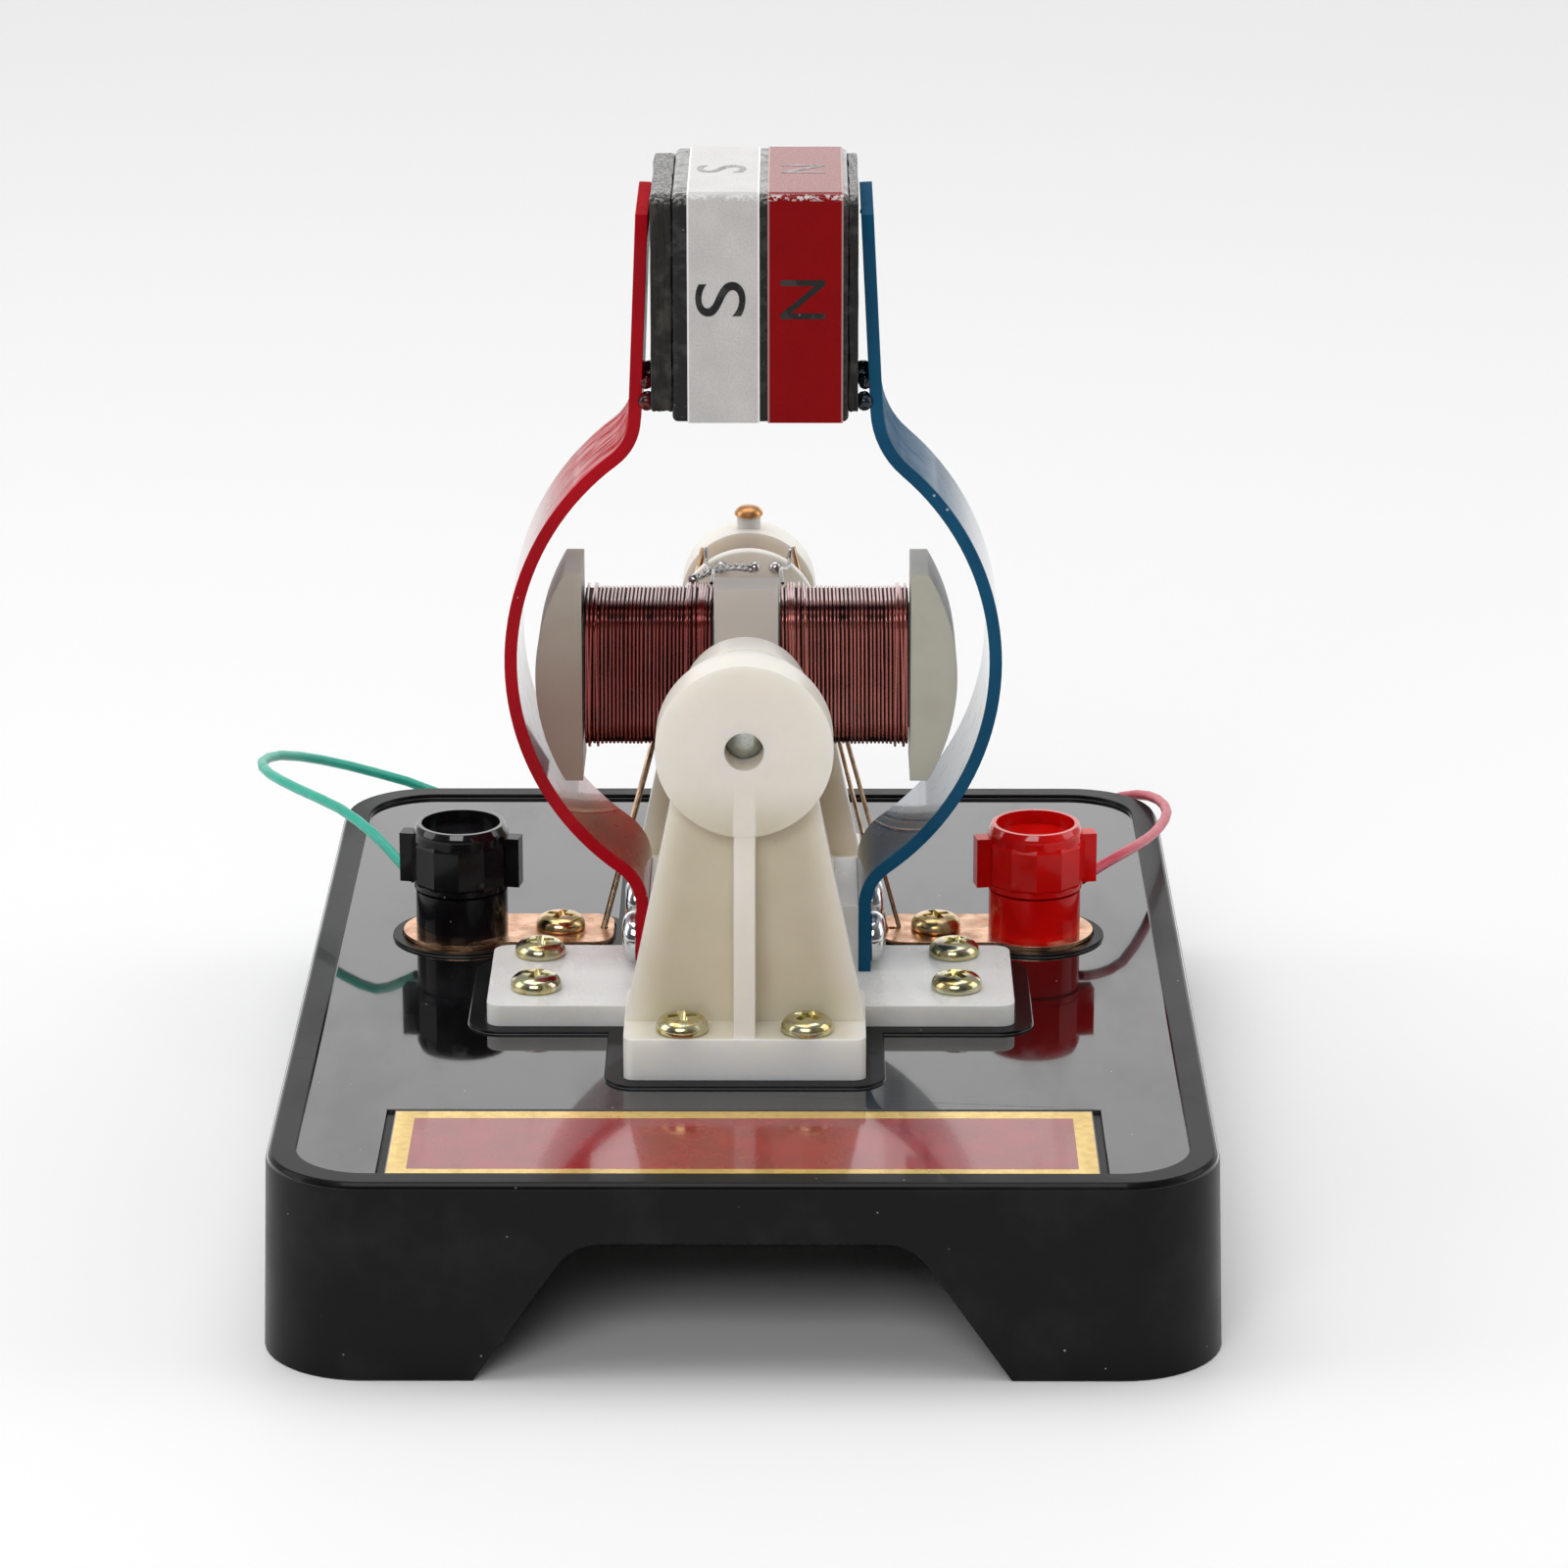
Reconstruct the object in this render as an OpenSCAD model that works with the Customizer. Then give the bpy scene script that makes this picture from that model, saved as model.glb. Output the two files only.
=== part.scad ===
// Demonstration electric motor: a bench model with a moulded base, two bearing stands, a wound
// armature between two bent pole strips, and a block magnet held between their upper ends.
// Millimetres, +Z up, +X to the right, -Y to the front. Origin: centre of the base on the table.

/* [Base] */
// Width of the base across the top
base_w = 115; // [112:1:140]
// Length of the base, front to back, across the top
base_l = 155; // [150:1:190]
// Height of the base with its rim
base_h = 25; // [22:0.5:32]
// Plan radius of the base corners
corner_r = 12; // [8:0.5:16]
// How far each wall leans out towards the table
wall_draft = 0.75; // [0.3:0.05:1.5]
// Thickness of the side walls
wall_t = 2.6; // [2:0.1:4]
// Thickness of the deck
deck_t = 2.4; // [2:0.1:3.5]
// Width of the raised rim round the deck
rim_w = 3.6; // [2.5:0.1:5]
// Height of the rim above the deck
rim_h = 0.6; // [0.4:0.1:1.2]
// Half width of the arch cut-outs at the table
arch_foot = 32.3; // [26:0.5:38]
// Half width of the arch cut-outs at their top corners
arch_top = 20.1; // [14:0.5:24]
// Height of the arch cut-outs
arch_h = 17.4; // [12:0.2:18.5]
// Width of the raised bead round each seat on the deck
bead_w = 2.2; // [1.2:0.1:2.6]
// Height of the raised bead
bead_h = 0.4; // [0.2:0.1:1.4]

/* [Name plate] */
// Width of the name plate
plate_w = 85.6; // [60:0.5:92]
// Depth of the name plate, front to back
plate_d = 22; // [14:0.5:24]
// Thickness of the name plate
plate_t = 0.3; // [0.2:0.05:0.4]

/* [Bearing stands] */
// Height of the shaft above the table
axis_h = 66.3; // [64:0.1:70]
// Distance of each upright's inner face from the middle
stand_y = 31.6; // [31.6:0.1:33]
// Thickness of each upright
upright_t = 3; // [2.4:0.1:4]
// Width of the stand's foot and of the upright at the foot
foot_w = 30.2; // [29:0.2:32]
// Thickness of the stand's foot
foot_t = 5.6; // [4:0.1:7]
// Distance of each foot's outer edge from the middle
foot_out = 41.6; // [40.8:0.1:43]
// Distance of each foot's inner edge from the middle
foot_in = 22.3; // [22.3:0.1:25]
// Width of the upright at the height of the shaft
neck_w = 15.2; // [13:0.2:18]
// Radius of the front bearing boss
front_boss_r = 11; // [9:0.1:12]
// Radius of the rear bearing boss
rear_boss_r = 9; // [8:0.1:12]
// Length of each bearing boss with its upright
boss_l = 6.4; // [5:0.1:7.5]
// Thickness of the gusset rib under each boss
rib_t = 2.6; // [2:0.1:4]

/* [Pole strips] */
// Thickness of the pole strips
strip_t = 1.6; // [1.2:0.1:2]
// Width of the pole strips, front to back
strip_w = 20; // [17:0.5:22]
// Place of the strips' middle along the shaft
strip_y = 1; // [0:0.1:2]
// Radius of the strips' round stretch, to the middle of their thickness
pole_r = 33.7; // [33.2:0.1:35]
// How far the centre of each round stretch lies beyond the middle, away from its strip
pole_in = 2.8; // [2:0.1:3]
// Height of the centre of the round stretch above the shaft
pole_rise = 2.6; // [1.5:0.1:3]
// How far the strips, as a pair, stand to the right of the middle
pole_off = 0.9; // [0:0.1:1]
// Distance between the strips at their lower ends
strip_gap = 27.1; // [25:0.1:28]
// Radius of the lower bends, to the middle of the thickness
bend_r = 6.5; // [5:0.1:8]
// Length of the strips above the centre of their round stretch
strip_rise = 58.4; // [56:0.1:62]

/* [Magnet] */
// Width of the magnet block
magnet_w = 22; // [20:0.2:24]
// Height of the magnet block
magnet_h = 29; // [24:0.5:32]
// Depth of the magnet block, front to back
magnet_d = 29; // [24:0.5:32]
// Thickness of the side plate on the left of the magnet
left_plate_t = 2.7; // [1:0.1:3]
// Thickness of the side plate on the right of the magnet
right_plate_t = 1.2; // [0.8:0.1:2]
// How far the block sits to the right of the middle
magnet_off = 1.9; // [1.4:0.1:2.4]
// Thickness of the printed pole labels
label_t = 0.2; // [0.1:0.05:0.4]

/* [Armature] */
// Radius of the shaft
shaft_r = 2.4; // [2:0.05:3]
// How deep the shaft ends sit inside the bosses
shaft_recess = 4.4; // [2:0.1:4.6]
// Radius of the armature's curved end faces
rotor_r = 27; // [26:0.1:27.4]
// Half height of the end flanges
flange_hh = 13.7; // [12:0.1:14.5]
// Depth of the former along the shaft
former_d = 12.8; // [11:0.1:14]
// Distance of the flanges' inner faces from the shaft
flange_x = 21; // [20:0.1:21.6]
// Width of the former's centre block
centre_w = 8.2; // [7.6:0.1:10]
// Outer height of each winding
coil_h = 18.8; // [17:0.1:20]
// Diameter of the modelled winding wire
wire_d = 1; // [0.8:0.05:1.05]
// Radius of the front hub
hub_r = 8; // [6:0.1:9]
// Radius of the commutator disc
disc_r = 9.2; // [8:0.1:11]
// Outer radius of the commutator segments
segment_r = 6.9; // [6.4:0.05:7]
// Thickness of the commutator segments
segment_t = 0.8; // [0.5:0.05:1.2]

/* [Contacts and terminals] */
// Distance of each terminal post from the middle
post_x = 38.1; // [36:0.1:42]
// Place of the contact plates and posts, front to back
contact_y = 14.5; // [14.5:0.1:17]
// Thickness of the copper contact plates
contact_t = 1; // [0.6:0.1:1.4]
// Width of the contact plates
contact_w = 11.6; // [9:0.2:12]
// Radius of each contact plate's pad under its post
pad_r = 7.8; // [7:0.1:8.4]
// Radius of the lower part of each post
post_r = 6.1; // [5.5:0.1:6.4]
// Radius of the screw cap of each post
cap_r = 6.3; // [5.9:0.1:6.6]
// Height of the top of the screw cap above the table
cap_top = 40.2; // [39.4:0.1:44]
// Radius of the open cup in the top of each cap
cup_r = 5.2; // [4.5:0.05:5.3]
// Reach of the two finger wings of a cap
wing_r = 8.1; // [7.4:0.1:9]
// Radius of the terminal studs
stud_r = 2; // [1.5:0.05:2.4]
// Radius of the brush wires
brush_r = 0.5; // [0.35:0.05:0.55]

/* [Screws] */
// Radius of the screw heads
head_r = 3.3; // [2.8:0.05:3.4]
// Height of the screw heads
head_h = 2; // [1.6:0.1:2.4]
// Radius of the screw shanks
shank_r = 1.4; // [1:0.05:1.6]
// Distance of the stand screws from the middle, left and right
stand_screw_x = 7.8; // [7:0.1:9]

/* [Leads] */
// Diameter of the insulated leads
lead_d = 1.4; // [1.2:0.1:1.6]

/* [Hidden] */

$fn = 64;
fit = 0.05;                       // radial clearance of a running or located fit
loose = 0.15;                     // clearance of seats and screw holes
body_gap = 0.4;                   // gap between pieces that move past each other
through = 20;                     // length of a hole's cutter that passes right through
screw_grip = 8;                   // length of screw in the boss under what it holds
deck_z = base_h - rim_h;
foot_top = deck_z + foot_t;
pole_h = axis_h + pole_rise;
plate_edge = rim_w + 0.4;         // name plate recess to the front edge of the base
plate_y = -base_l / 2 + plate_edge + plate_d / 2;

// Stand screws, seen from the middle outwards
stand_screw_y = foot_out - head_r - 0.3;

plug_neck = 1.5;                  // neck for the oil plug on top of the rear boss
plug_r = 0.8;

// Pole brackets
bracket_t = 3.1;
bracket_top = deck_z + bracket_t;
bracket_out = 33.7;
bracket_off = 0.6;                // both brackets' outer edges stand this far to the right
bracket_front = 22;
bracket_back = 1.5;
lug_t = 3;
lug_h = 9;
ledge = 0.5;                      // how far the bracket reaches past the strip that it carries
bracket_screw_x = 27;
bracket_screw_y = [-bracket_back - 0.6, -bracket_front + 6.8];
bolt_z = bracket_top + 3.8;
bolt_dy = 6.9;
bolt_nut_w = 5.5;                 // pole bolts' nuts, across the flats
bolt_nut_h = 2.4;

// Magnet with its side plates
magnet_top = pole_h + strip_rise + 3.5;
magnet_z = magnet_top - magnet_h;
magnet_left = magnet_off - magnet_w / 2;
magnet_right = magnet_off + magnet_w / 2;
plate_cut = [0.3, 0.8, 0.2];      // plates stop short of the block: front and back, below, above
south_x = [-7.2, 1.8];            // sides of the south label
north_x = [2.8, 12.2];            // sides of the north label

// Strip outline: straight foot, bend, round stretch, bend, upper end that leans inwards.
// k is 0 for the left strip and 1 for the right one; both are drawn on the right
glue_gap = 0.3;                   // between a strip's upper end and the side plate
bend_top = [6.8, 11];
lean = [2.35, 2.9];
strip_foot_z = bracket_top - pole_h;
function side_off(k) = k == 1 ? pole_off : -pole_off;
function lug_face(k) = strip_gap / 2 + side_off(k);
function ledge_x(k) = lug_face(k) + strip_t + ledge;
function pole_cx(k) = side_off(k) - pole_in;
function plate_face(k) = k == 1 ? magnet_right + right_plate_t : left_plate_t - magnet_left;
function low_c(k) = let (x = lug_face(k) + strip_t / 2 + bend_r)
    [x, -sqrt(pow(pole_r + bend_r, 2) - pow(x - pole_cx(k), 2))];
function low_a(k) = atan2(low_c(k).y, low_c(k).x - pole_cx(k));
function lean_out(k) = [cos(lean[k]), sin(lean[k])];
function lean_up(k) = [-sin(lean[k]), cos(lean[k])];
function strip_end(k) = [plate_face(k) + glue_gap + strip_t / 2, strip_rise];
function top_c(k) = let (w = strip_end(k) + bend_top[k] * lean_out(k) - [pole_cx(k), 0],
        b = w * lean_up(k), d = b * b - w * w + pow(pole_r + bend_top[k], 2))
    w + [pole_cx(k), 0] - (b - sqrt(d)) * lean_up(k);
function top_a(k) = atan2(top_c(k).y, top_c(k).x - pole_cx(k));

// Armature
arm_half = former_d / 2;
coil_end = arm_half - 0.05;
hub_front = stand_y - body_gap;   // front hub's front end and commutator's rear end
hub_back = 14.5;
neck_r = 5.2;
disc_y = 21.6;
disc_t = 1.8;
segment_in = segment_r - segment_t;
turns = 11;
core_w = flange_x - centre_w / 2;
core_half_h = coil_h / 2 - wire_d;
core_half_d = coil_end - wire_d;
core_corner = 2.2;
core_wall = 1.2;                  // depth of the plain wire layers under the outer layer
iron_half_l = flange_x + 0.8;
iron_half_h = 4.2;
iron_half_d = 3.1;

// Terminals
contact_top = deck_z + contact_t;
post_top = contact_top + 5.2;
strand_t = 0.5;
cap_bottom = post_top + strand_t + body_gap;
insert_r = 3.4;
insert_top = cap_bottom + 3.6;
cup_floor = insert_top + 0.2;
washer_r = 4.5;
washer_t = 0.8;
stud_nut_w = 7;                   // studs' nuts, across the flats
stud_nut_h = 3.2;
stud_low = deck_z - deck_t - washer_t - stud_nut_h - 3;
contact_in = 17.9;                // distance of the plates' inner ends from the middle
contact_screw_x = 25;
brush_foot_x = 19.2;
brush_top_z = axis_h + 7.7;
brush_y = hub_front - 4.2;
wing_turn = 10;                   // how far the cap's finger wings are turned

// Leads: chosen points, from the terminal to the coil behind the base
lead_r = lead_d / 2;
coil_mid_r = 7.4;
coil_turns = 4;
coil_pitch = 2;
route_floor = 0.8;                // height of the leads' middle where they lie on the table
green_route = [[-44.5, 17.5, 31.2], [-47, 20, 33.2], [-50.5, 24, 35.5], [-55.5, 32, 36.4],
    [-62, 42, 36], [-66.5, 50, 35.6], [-68.3, 58, 34.8], [-66.5, 67, 33], [-61.5, 76, 29.5],
    [-54, 82, 25.6], [-46, 86, 21.5], [-38, 89, 15], [-31, 91, 8], [-24, 91.5, 2.6],
    [-17, 91.5, 0.8], [-10, 91.5, 0.8]];
red_route = [[44.5, 17.5, 31.2], [47, 20.5, 32], [50.6, 26, 32.2], [54.2, 36, 30.8],
    [56.6, 46, 29.3], [58.2, 56, 28.2], [57.6, 66, 26.8], [55, 74, 25], [50.5, 81, 21.6],
    [45, 86, 16.5], [39, 89, 10.5], [33, 91, 5], [27, 91.5, 1.6], [20, 91.5, 0.8], [13, 91.5, 0.8]];

// Building blocks

// Plate with round corners, centred on the origin
module rounded_plate(w, l, r) {
    union() {
        square([w - 2 * r, l], center = true);
        square([w, l - 2 * r], center = true);
        for (sx = [-1, 1], sy = [-1, 1])
            translate([sx * (w / 2 - r), sy * (l / 2 - r)]) circle(r = r);
    }
}

// Rectangle between two corners with round corners
module rounded_box2d(x0, x1, y0, y1, r) {
    translate([(x0 + x1) / 2, (y0 + y1) / 2]) rounded_plate(x1 - x0, y1 - y0, r);
}

// Extrudes an outline drawn in X and Z along Y, between y0 and y1
module along_y(y0, y1) {
    translate([0, y1, 0]) rotate([90, 0, 0]) linear_extrude(height = y1 - y0) children();
}

// Extrudes an outline drawn in Y and Z along X, centred
module along_x(w) {
    rotate([90, 0, 90]) translate([0, 0, -w / 2]) linear_extrude(height = w) children();
}

// Cylinder along Y between y0 and y1, at the height of the shaft
module shaft_cyl(r, y0, y1) {
    translate([0, y1, axis_h]) rotate([90, 0, 0]) cylinder(r = r, h = y1 - y0);
}

// Pan head with a cross recess, standing on z = 0
module pan_head(r = head_r, h = head_h) {
    ball = (r * r + h * h) / (2 * h) * 1.02;
    difference() {
        intersection() {
            cylinder(r = r, h = h);
            translate([0, 0, h - ball]) sphere(r = ball);
        }
        for (a = [0, 90])
            rotate([0, 0, a]) translate([-r * 0.55, -0.45, h - 1]) cube([r * 1.1, 0.9, 2]);
    }
}

// Screw whose head seats at z = 0, with its shank below
module screw(length, r = shank_r) {
    pan_head();
    translate([0, 0, -length]) cylinder(r = r, h = length + 0.1);
}

// Hexagonal nut standing on z = 0 with a hole
module hex_nut(across, h, hole) {
    difference() {
        cylinder(d = across / cos(30), h = h, $fn = 6);
        translate([0, 0, -1]) cylinder(r = hole, h = h + 2);
    }
}

// Places of the screws that go into the deck
module at_stand_screws() {
    for (sx = [-1, 1], sy = [-1, 1])
        translate([sx * stand_screw_x, sy * stand_screw_y, 0]) children();
}
module at_bracket_screws() {
    for (sx = [-1, 1], y = bracket_screw_y) translate([sx * bracket_screw_x, y, 0]) children();
}
module at_contact_screws() {
    for (sx = [-1, 1]) translate([sx * contact_screw_x, contact_y, 0]) children();
}
module at_posts() {
    for (sx = [-1, 1]) translate([sx * post_x, contact_y, 0]) children();
}

// Base

// Outline of everything that sits in the seats of the deck, grown by g
module stand_seat(g) {
    rounded_box2d(-foot_w / 2 - g, foot_w / 2 + g, -foot_out - g, foot_out + g, 1.5 + g);
    rounded_box2d(bracket_off - bracket_out - g, bracket_off + bracket_out + g,
        -bracket_front - g, bracket_back + g, 2 + g);
    rounded_box2d(-ledge_x(0) - g, ledge_x(1) + g, -bracket_front - g,
        strip_y + strip_w / 2 + g, 0.5 + g);
}
module contact_seat(g) {
    for (sx = [-1, 1]) translate([sx * post_x, contact_y]) circle(r = pad_r + g);
    for (sx = [-1, 1]) mirror([sx < 0 ? 1 : 0, 0])
        rounded_box2d(contact_in - g, post_x, contact_y - contact_w / 2 - g,
            contact_y + contact_w / 2 + g, 3 + g);
}

// Outline of an arch cut-out in X and Z
module arch_outline() {
    slope = atan2(arch_h, arch_foot - arch_top);
    r = 6.5;
    reach = r * tan(slope / 2);
    right = concat(
        [[arch_foot * (1 + 1 / arch_h) - arch_top / arch_h, -1]],
        [for (i = [0:6]) let (a = 90 - slope + slope * i / 6)
            [arch_top - reach + r * cos(a), arch_h - r + r * sin(a)]]);
    left = [for (i = [len(right) - 1:-1:0]) [-right[i].x, right[i].y]];
    polygon(concat(right, left));
}

// Block with drafted walls; inset t makes the hollow's shape
module drafted_block(t, z0, z1) {
    r = max(corner_r - t, 1);
    hull()
        for (sx = [-1, 1], sy = [-1, 1])
            translate([sx * (base_w / 2 - corner_r), sy * (base_l / 2 - corner_r), z0]) {
                cylinder(r1 = r + wall_draft * (1 - z0 / base_h),
                    r2 = r + wall_draft * (1 - (z1 - 1) / base_h), h = z1 - z0 - 1, $fn = 48);
                cylinder(r = r - 0.6 + wall_draft * (1 - z1 / base_h), h = z1 - z0, $fn = 48);
            }
}

module base_shell() {
    boss_h = 9;
    color("#101012") difference() {
        union() {
            difference() {
                drafted_block(0, 0, base_h);
                drafted_block(wall_t, -1, deck_z - deck_t);
                translate([0, 0, deck_z]) linear_extrude(height = base_h)
                    rounded_plate(base_w - 2 * rim_w, base_l - 2 * rim_w, corner_r - rim_w + 0.6);
                along_y(-base_l, base_l) arch_outline();
            }
            translate([0, 0, deck_z - 0.1]) linear_extrude(height = bead_h + 0.1) difference() {
                union() {
                    stand_seat(loose + bead_w);
                    contact_seat(loose + bead_w * 0.6);
                }
                stand_seat(loose);
                contact_seat(loose);
            }
            for (z = [deck_z - deck_t - boss_h]) {
                at_stand_screws() translate([0, 0, z]) cylinder(r = 3, h = boss_h + 0.5);
                at_bracket_screws() translate([0, 0, z]) cylinder(r = 3, h = boss_h + 0.5);
                at_contact_screws() translate([0, 0, z]) cylinder(r = 3, h = boss_h + 0.5);
            }
        }
        translate([-plate_w / 2 - 1, plate_y - plate_d / 2, deck_z - plate_t - 0.1])
            cube([plate_w + 2, plate_d + 0.4, 5]);
        for (h = [deck_t + boss_h + 1]) {
            at_stand_screws() translate([0, 0, deck_z - h]) cylinder(r = shank_r + fit, h = through);
            at_bracket_screws() translate([0, 0, deck_z - h]) cylinder(r = shank_r + fit, h = through);
            at_contact_screws() translate([0, 0, deck_z - h]) cylinder(r = shank_r + fit, h = through);
        }
        at_posts() translate([0, 0, deck_z - deck_t - 1]) cylinder(r = stud_r + fit, h = through);
    }
}

module name_plate() {
    color("#8e1f22") translate([-plate_w / 2, plate_y - plate_d / 2 + 0.2, deck_z - plate_t - 0.1])
        cube([plate_w, plate_d, plate_t]);
}

// Bearing stands

// Stand as it faces the front; boss_r is the radius of its bearing boss
module stand(boss_r) {
    upright_front = stand_y + upright_t;
    z_foot = foot_top - axis_h;
    difference() {
        union() {
            translate([0, 0, deck_z]) linear_extrude(height = foot_t)
                rounded_box2d(-foot_w / 2, foot_w / 2, -foot_out, -foot_in, 1.5);
            translate([0, 0, axis_h]) along_y(-upright_front, -stand_y)
                polygon([[-foot_w / 2, z_foot - 0.5], [foot_w / 2, z_foot - 0.5],
                    [neck_w / 2, 0], [-neck_w / 2, 0]]);
            shaft_cyl(boss_r, -stand_y - boss_l, -stand_y);
            along_x(rib_t)
                polygon([[-stand_y, foot_top - 0.5], [-foot_out + 0.5, foot_top - 0.5],
                    [-foot_out + 0.5, foot_top], [-stand_y - boss_l + 0.2, axis_h - boss_r + 1],
                    [-stand_y, axis_h - boss_r + 1]]);
        }
        shaft_cyl(shaft_r + fit, -stand_y - boss_l - 1, -stand_y + 1);
        for (sx = [-1, 1]) translate([sx * stand_screw_x, -stand_screw_y, deck_z - 1])
            cylinder(r = shank_r + loose, h = foot_t + 2);
    }
}

module front_stand() {
    color("#e9e4cf") stand(front_boss_r);
}

module rear_stand() {
    color("#e9e4cf") mirror([0, 1, 0]) difference() {
        union() {
            stand(rear_boss_r);
            translate([0, -stand_y - boss_l / 2, axis_h + rear_boss_r - 1])
                cylinder(r = 1.6, h = plug_neck + 1);
        }
        translate([0, -stand_y - boss_l / 2, axis_h + shaft_r])
            cylinder(r = plug_r + fit, h = 20);
    }
}
// Domed brass plug of the oil hole above the rear bearing
module oil_plug() {
    color("#c07a3a") translate([0, stand_y + boss_l / 2, axis_h + rear_boss_r + plug_neck]) {
        intersection() {
            cylinder(r = 1.9, h = 1.4);
            translate([0, 0, -0.7]) sphere(r = 2.1);
        }
        translate([0, 0, -plug_neck - 3]) cylinder(r = plug_r, h = plug_neck + 3.1);
    }
}

module stand_screws() {
    color("#c9b26a") at_stand_screws() translate([0, 0, foot_top]) screw(foot_t + screw_grip);
}

// Pole brackets: a flat wing screwed to the deck and an upright lug behind the strip

module pole_bracket(k) {
    lug_x = lug_face(k);
    out = bracket_out + (k == 1 ? bracket_off : -bracket_off);
    difference() {
        union() {
            translate([0, 0, deck_z]) linear_extrude(height = bracket_t)
                rounded_box2d(lug_x - lug_t, out, -bracket_front, bracket_back, 2);
            translate([lug_x - lug_t, -bracket_front + 5, deck_z])
                cube([lug_t + strip_t + ledge, strip_y + strip_w / 2 + bracket_front - 5,
                    bracket_t]);
            translate([lug_x - lug_t, strip_y - strip_w / 2, deck_z])
                cube([lug_t, strip_w, bracket_t + lug_h]);
        }
        for (y = bracket_screw_y) translate([bracket_screw_x, y, deck_z - 1])
            cylinder(r = shank_r + loose, h = bracket_t + 2);
        for (s = [-1, 1]) translate([0, strip_y + s * bolt_dy, bolt_z]) rotate([0, 90, 0])
            cylinder(r = shank_r + loose, h = 2 * through);
    }
}

module left_pole_bracket() {
    color("#e4e2d6") mirror([1, 0, 0]) pole_bracket(0);
}

module right_pole_bracket() {
    color("#e4e2d6") pole_bracket(1);
}

module bracket_screws() {
    color("#c9b26a") at_bracket_screws() translate([0, 0, bracket_top]) screw(bracket_t + screw_grip);
}

// Pole strips

// One face of the strip's outline; o is -1 for the inner face and 1 for the outer face
function strip_face(k, o) = let (h = o * strip_t / 2) concat(
    [[lug_face(k) + strip_t / 2 + h, strip_foot_z]],
    [for (i = [0:8]) let (a = 180 + low_a(k) * i / 8)
        low_c(k) + (bend_r - h) * [cos(a), sin(a)]],
    [for (i = [1:39]) let (a = low_a(k) + (top_a(k) - low_a(k)) * i / 40)
        [pole_cx(k), 0] + (pole_r + h) * [cos(a), sin(a)]],
    [for (i = [0:8]) let (a = 180 + lean[k] + (top_a(k) - lean[k]) * (1 - i / 8))
        top_c(k) + (bend_top[k] - h) * [cos(a), sin(a)]],
    [strip_end(k) + h * lean_out(k)]);

module pole_strip(k) {
    inner = strip_face(k, -1);
    outer = strip_face(k, 1);
    difference() {
        translate([0, 0, pole_h]) along_y(strip_y - strip_w / 2, strip_y + strip_w / 2)
            polygon(concat(inner, [for (i = [len(outer) - 1:-1:0]) outer[i]]));
        for (s = [-1, 1]) translate([0, strip_y + s * bolt_dy, bolt_z]) rotate([0, 90, 0])
            cylinder(r = shank_r + loose, h = through);
    }
}

module red_pole_strip() {
    color("#b31a24") mirror([1, 0, 0]) pole_strip(0);
}

module blue_pole_strip() {
    color("#1f5f87") pole_strip(1);
}

// Places of the pole bolts on the strips' inner faces; children point outwards along X
module at_pole_bolts() {
    for (k = [0, 1], s = [-1, 1]) mirror([1 - k, 0, 0])
        translate([lug_face(k), strip_y + s * bolt_dy, bolt_z]) children();
}

module pole_bolts() {
    color("#d8d8da") at_pole_bolts() translate([strip_t, 0, 0]) rotate([0, 90, 0])
        screw(strip_t + lug_t + 3);
}

module pole_nuts() {
    color("#b9babd") at_pole_bolts() translate([-lug_t, 0, 0]) rotate([0, -90, 0])
        hex_nut(bolt_nut_w, bolt_nut_h, shank_r + fit);
}

// Magnet and what holds it

module magnet_block() {
    color("#1b1b1d") translate([magnet_left, strip_y - magnet_d / 2, magnet_z])
        cube([magnet_w, magnet_d, magnet_h]);
}

// Side plate between the block and a strip's upper end
module magnet_plate(x0, x1) {
    color("#2a2a28") translate([x0, strip_y - magnet_d / 2 + plate_cut.x, magnet_z + plate_cut.y])
        cube([x1 - x0, magnet_d - 2 * plate_cut.x, magnet_h - plate_cut.y - plate_cut.z]);
}

module left_magnet_plate() {
    magnet_plate(magnet_left - left_plate_t, magnet_left);
}

module right_magnet_plate() {
    magnet_plate(magnet_right, magnet_right + right_plate_t);
}

// Label wrapped over the front, the top and the back of the block
module pole_label(x0, x1) {
    translate([(x0 + x1) / 2, 0, 0]) along_x(x1 - x0) difference() {
        translate([strip_y - magnet_d / 2 - label_t, magnet_z])
            square([magnet_d + 2 * label_t, magnet_h + label_t]);
        translate([strip_y - magnet_d / 2, magnet_z - 1]) square([magnet_d, magnet_h + 1]);
    }
}

module south_label() {
    color("#e3e3e0")
        pole_label(south_x[0], south_x[1]);
}

module north_label() {
    color("#b3121a")
        pole_label(north_x[0], north_x[1]);
}

// Glue in the wedge between a side plate and the leaning strip: lumps low down, pads above
module glue_wedge(k, z0, z1) {
    translate([0, 0, pole_h]) intersection() {
        along_y(-magnet_d, magnet_d) polygon([[plate_face(k), z0], [plate_face(k), z1],
            for (z = [z1, z0]) [strip_end(k).x - strip_t / 2 * cos(lean[k])
                + (strip_end(k).y - strip_t / 2 * sin(lean[k]) - z) * tan(lean[k]), z]]);
        translate([0, strip_y, 0]) children();
    }
}
module glue_blobs() {
    low = magnet_z + plate_cut.y - pole_h;
    color("#17120f") for (k = [0, 1]) mirror([1 - k, 0, 0]) {
        for (y = [-8, 0.5, 8]) glue_wedge(k, low, low + 2.5)
            translate([plate_face(k) + 0.8, y, low + 0.7]) scale([1, 1.5, 1])
                sphere(r = 1.4, $fn = 20);
        for (y = [-5, 5]) glue_wedge(k, strip_rise - 8, strip_rise - 3)
            translate([0, y - 2, strip_rise - 7]) cube([2 * through, 4, 3]);
    }
}

// Armature, all of it round the shaft

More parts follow.
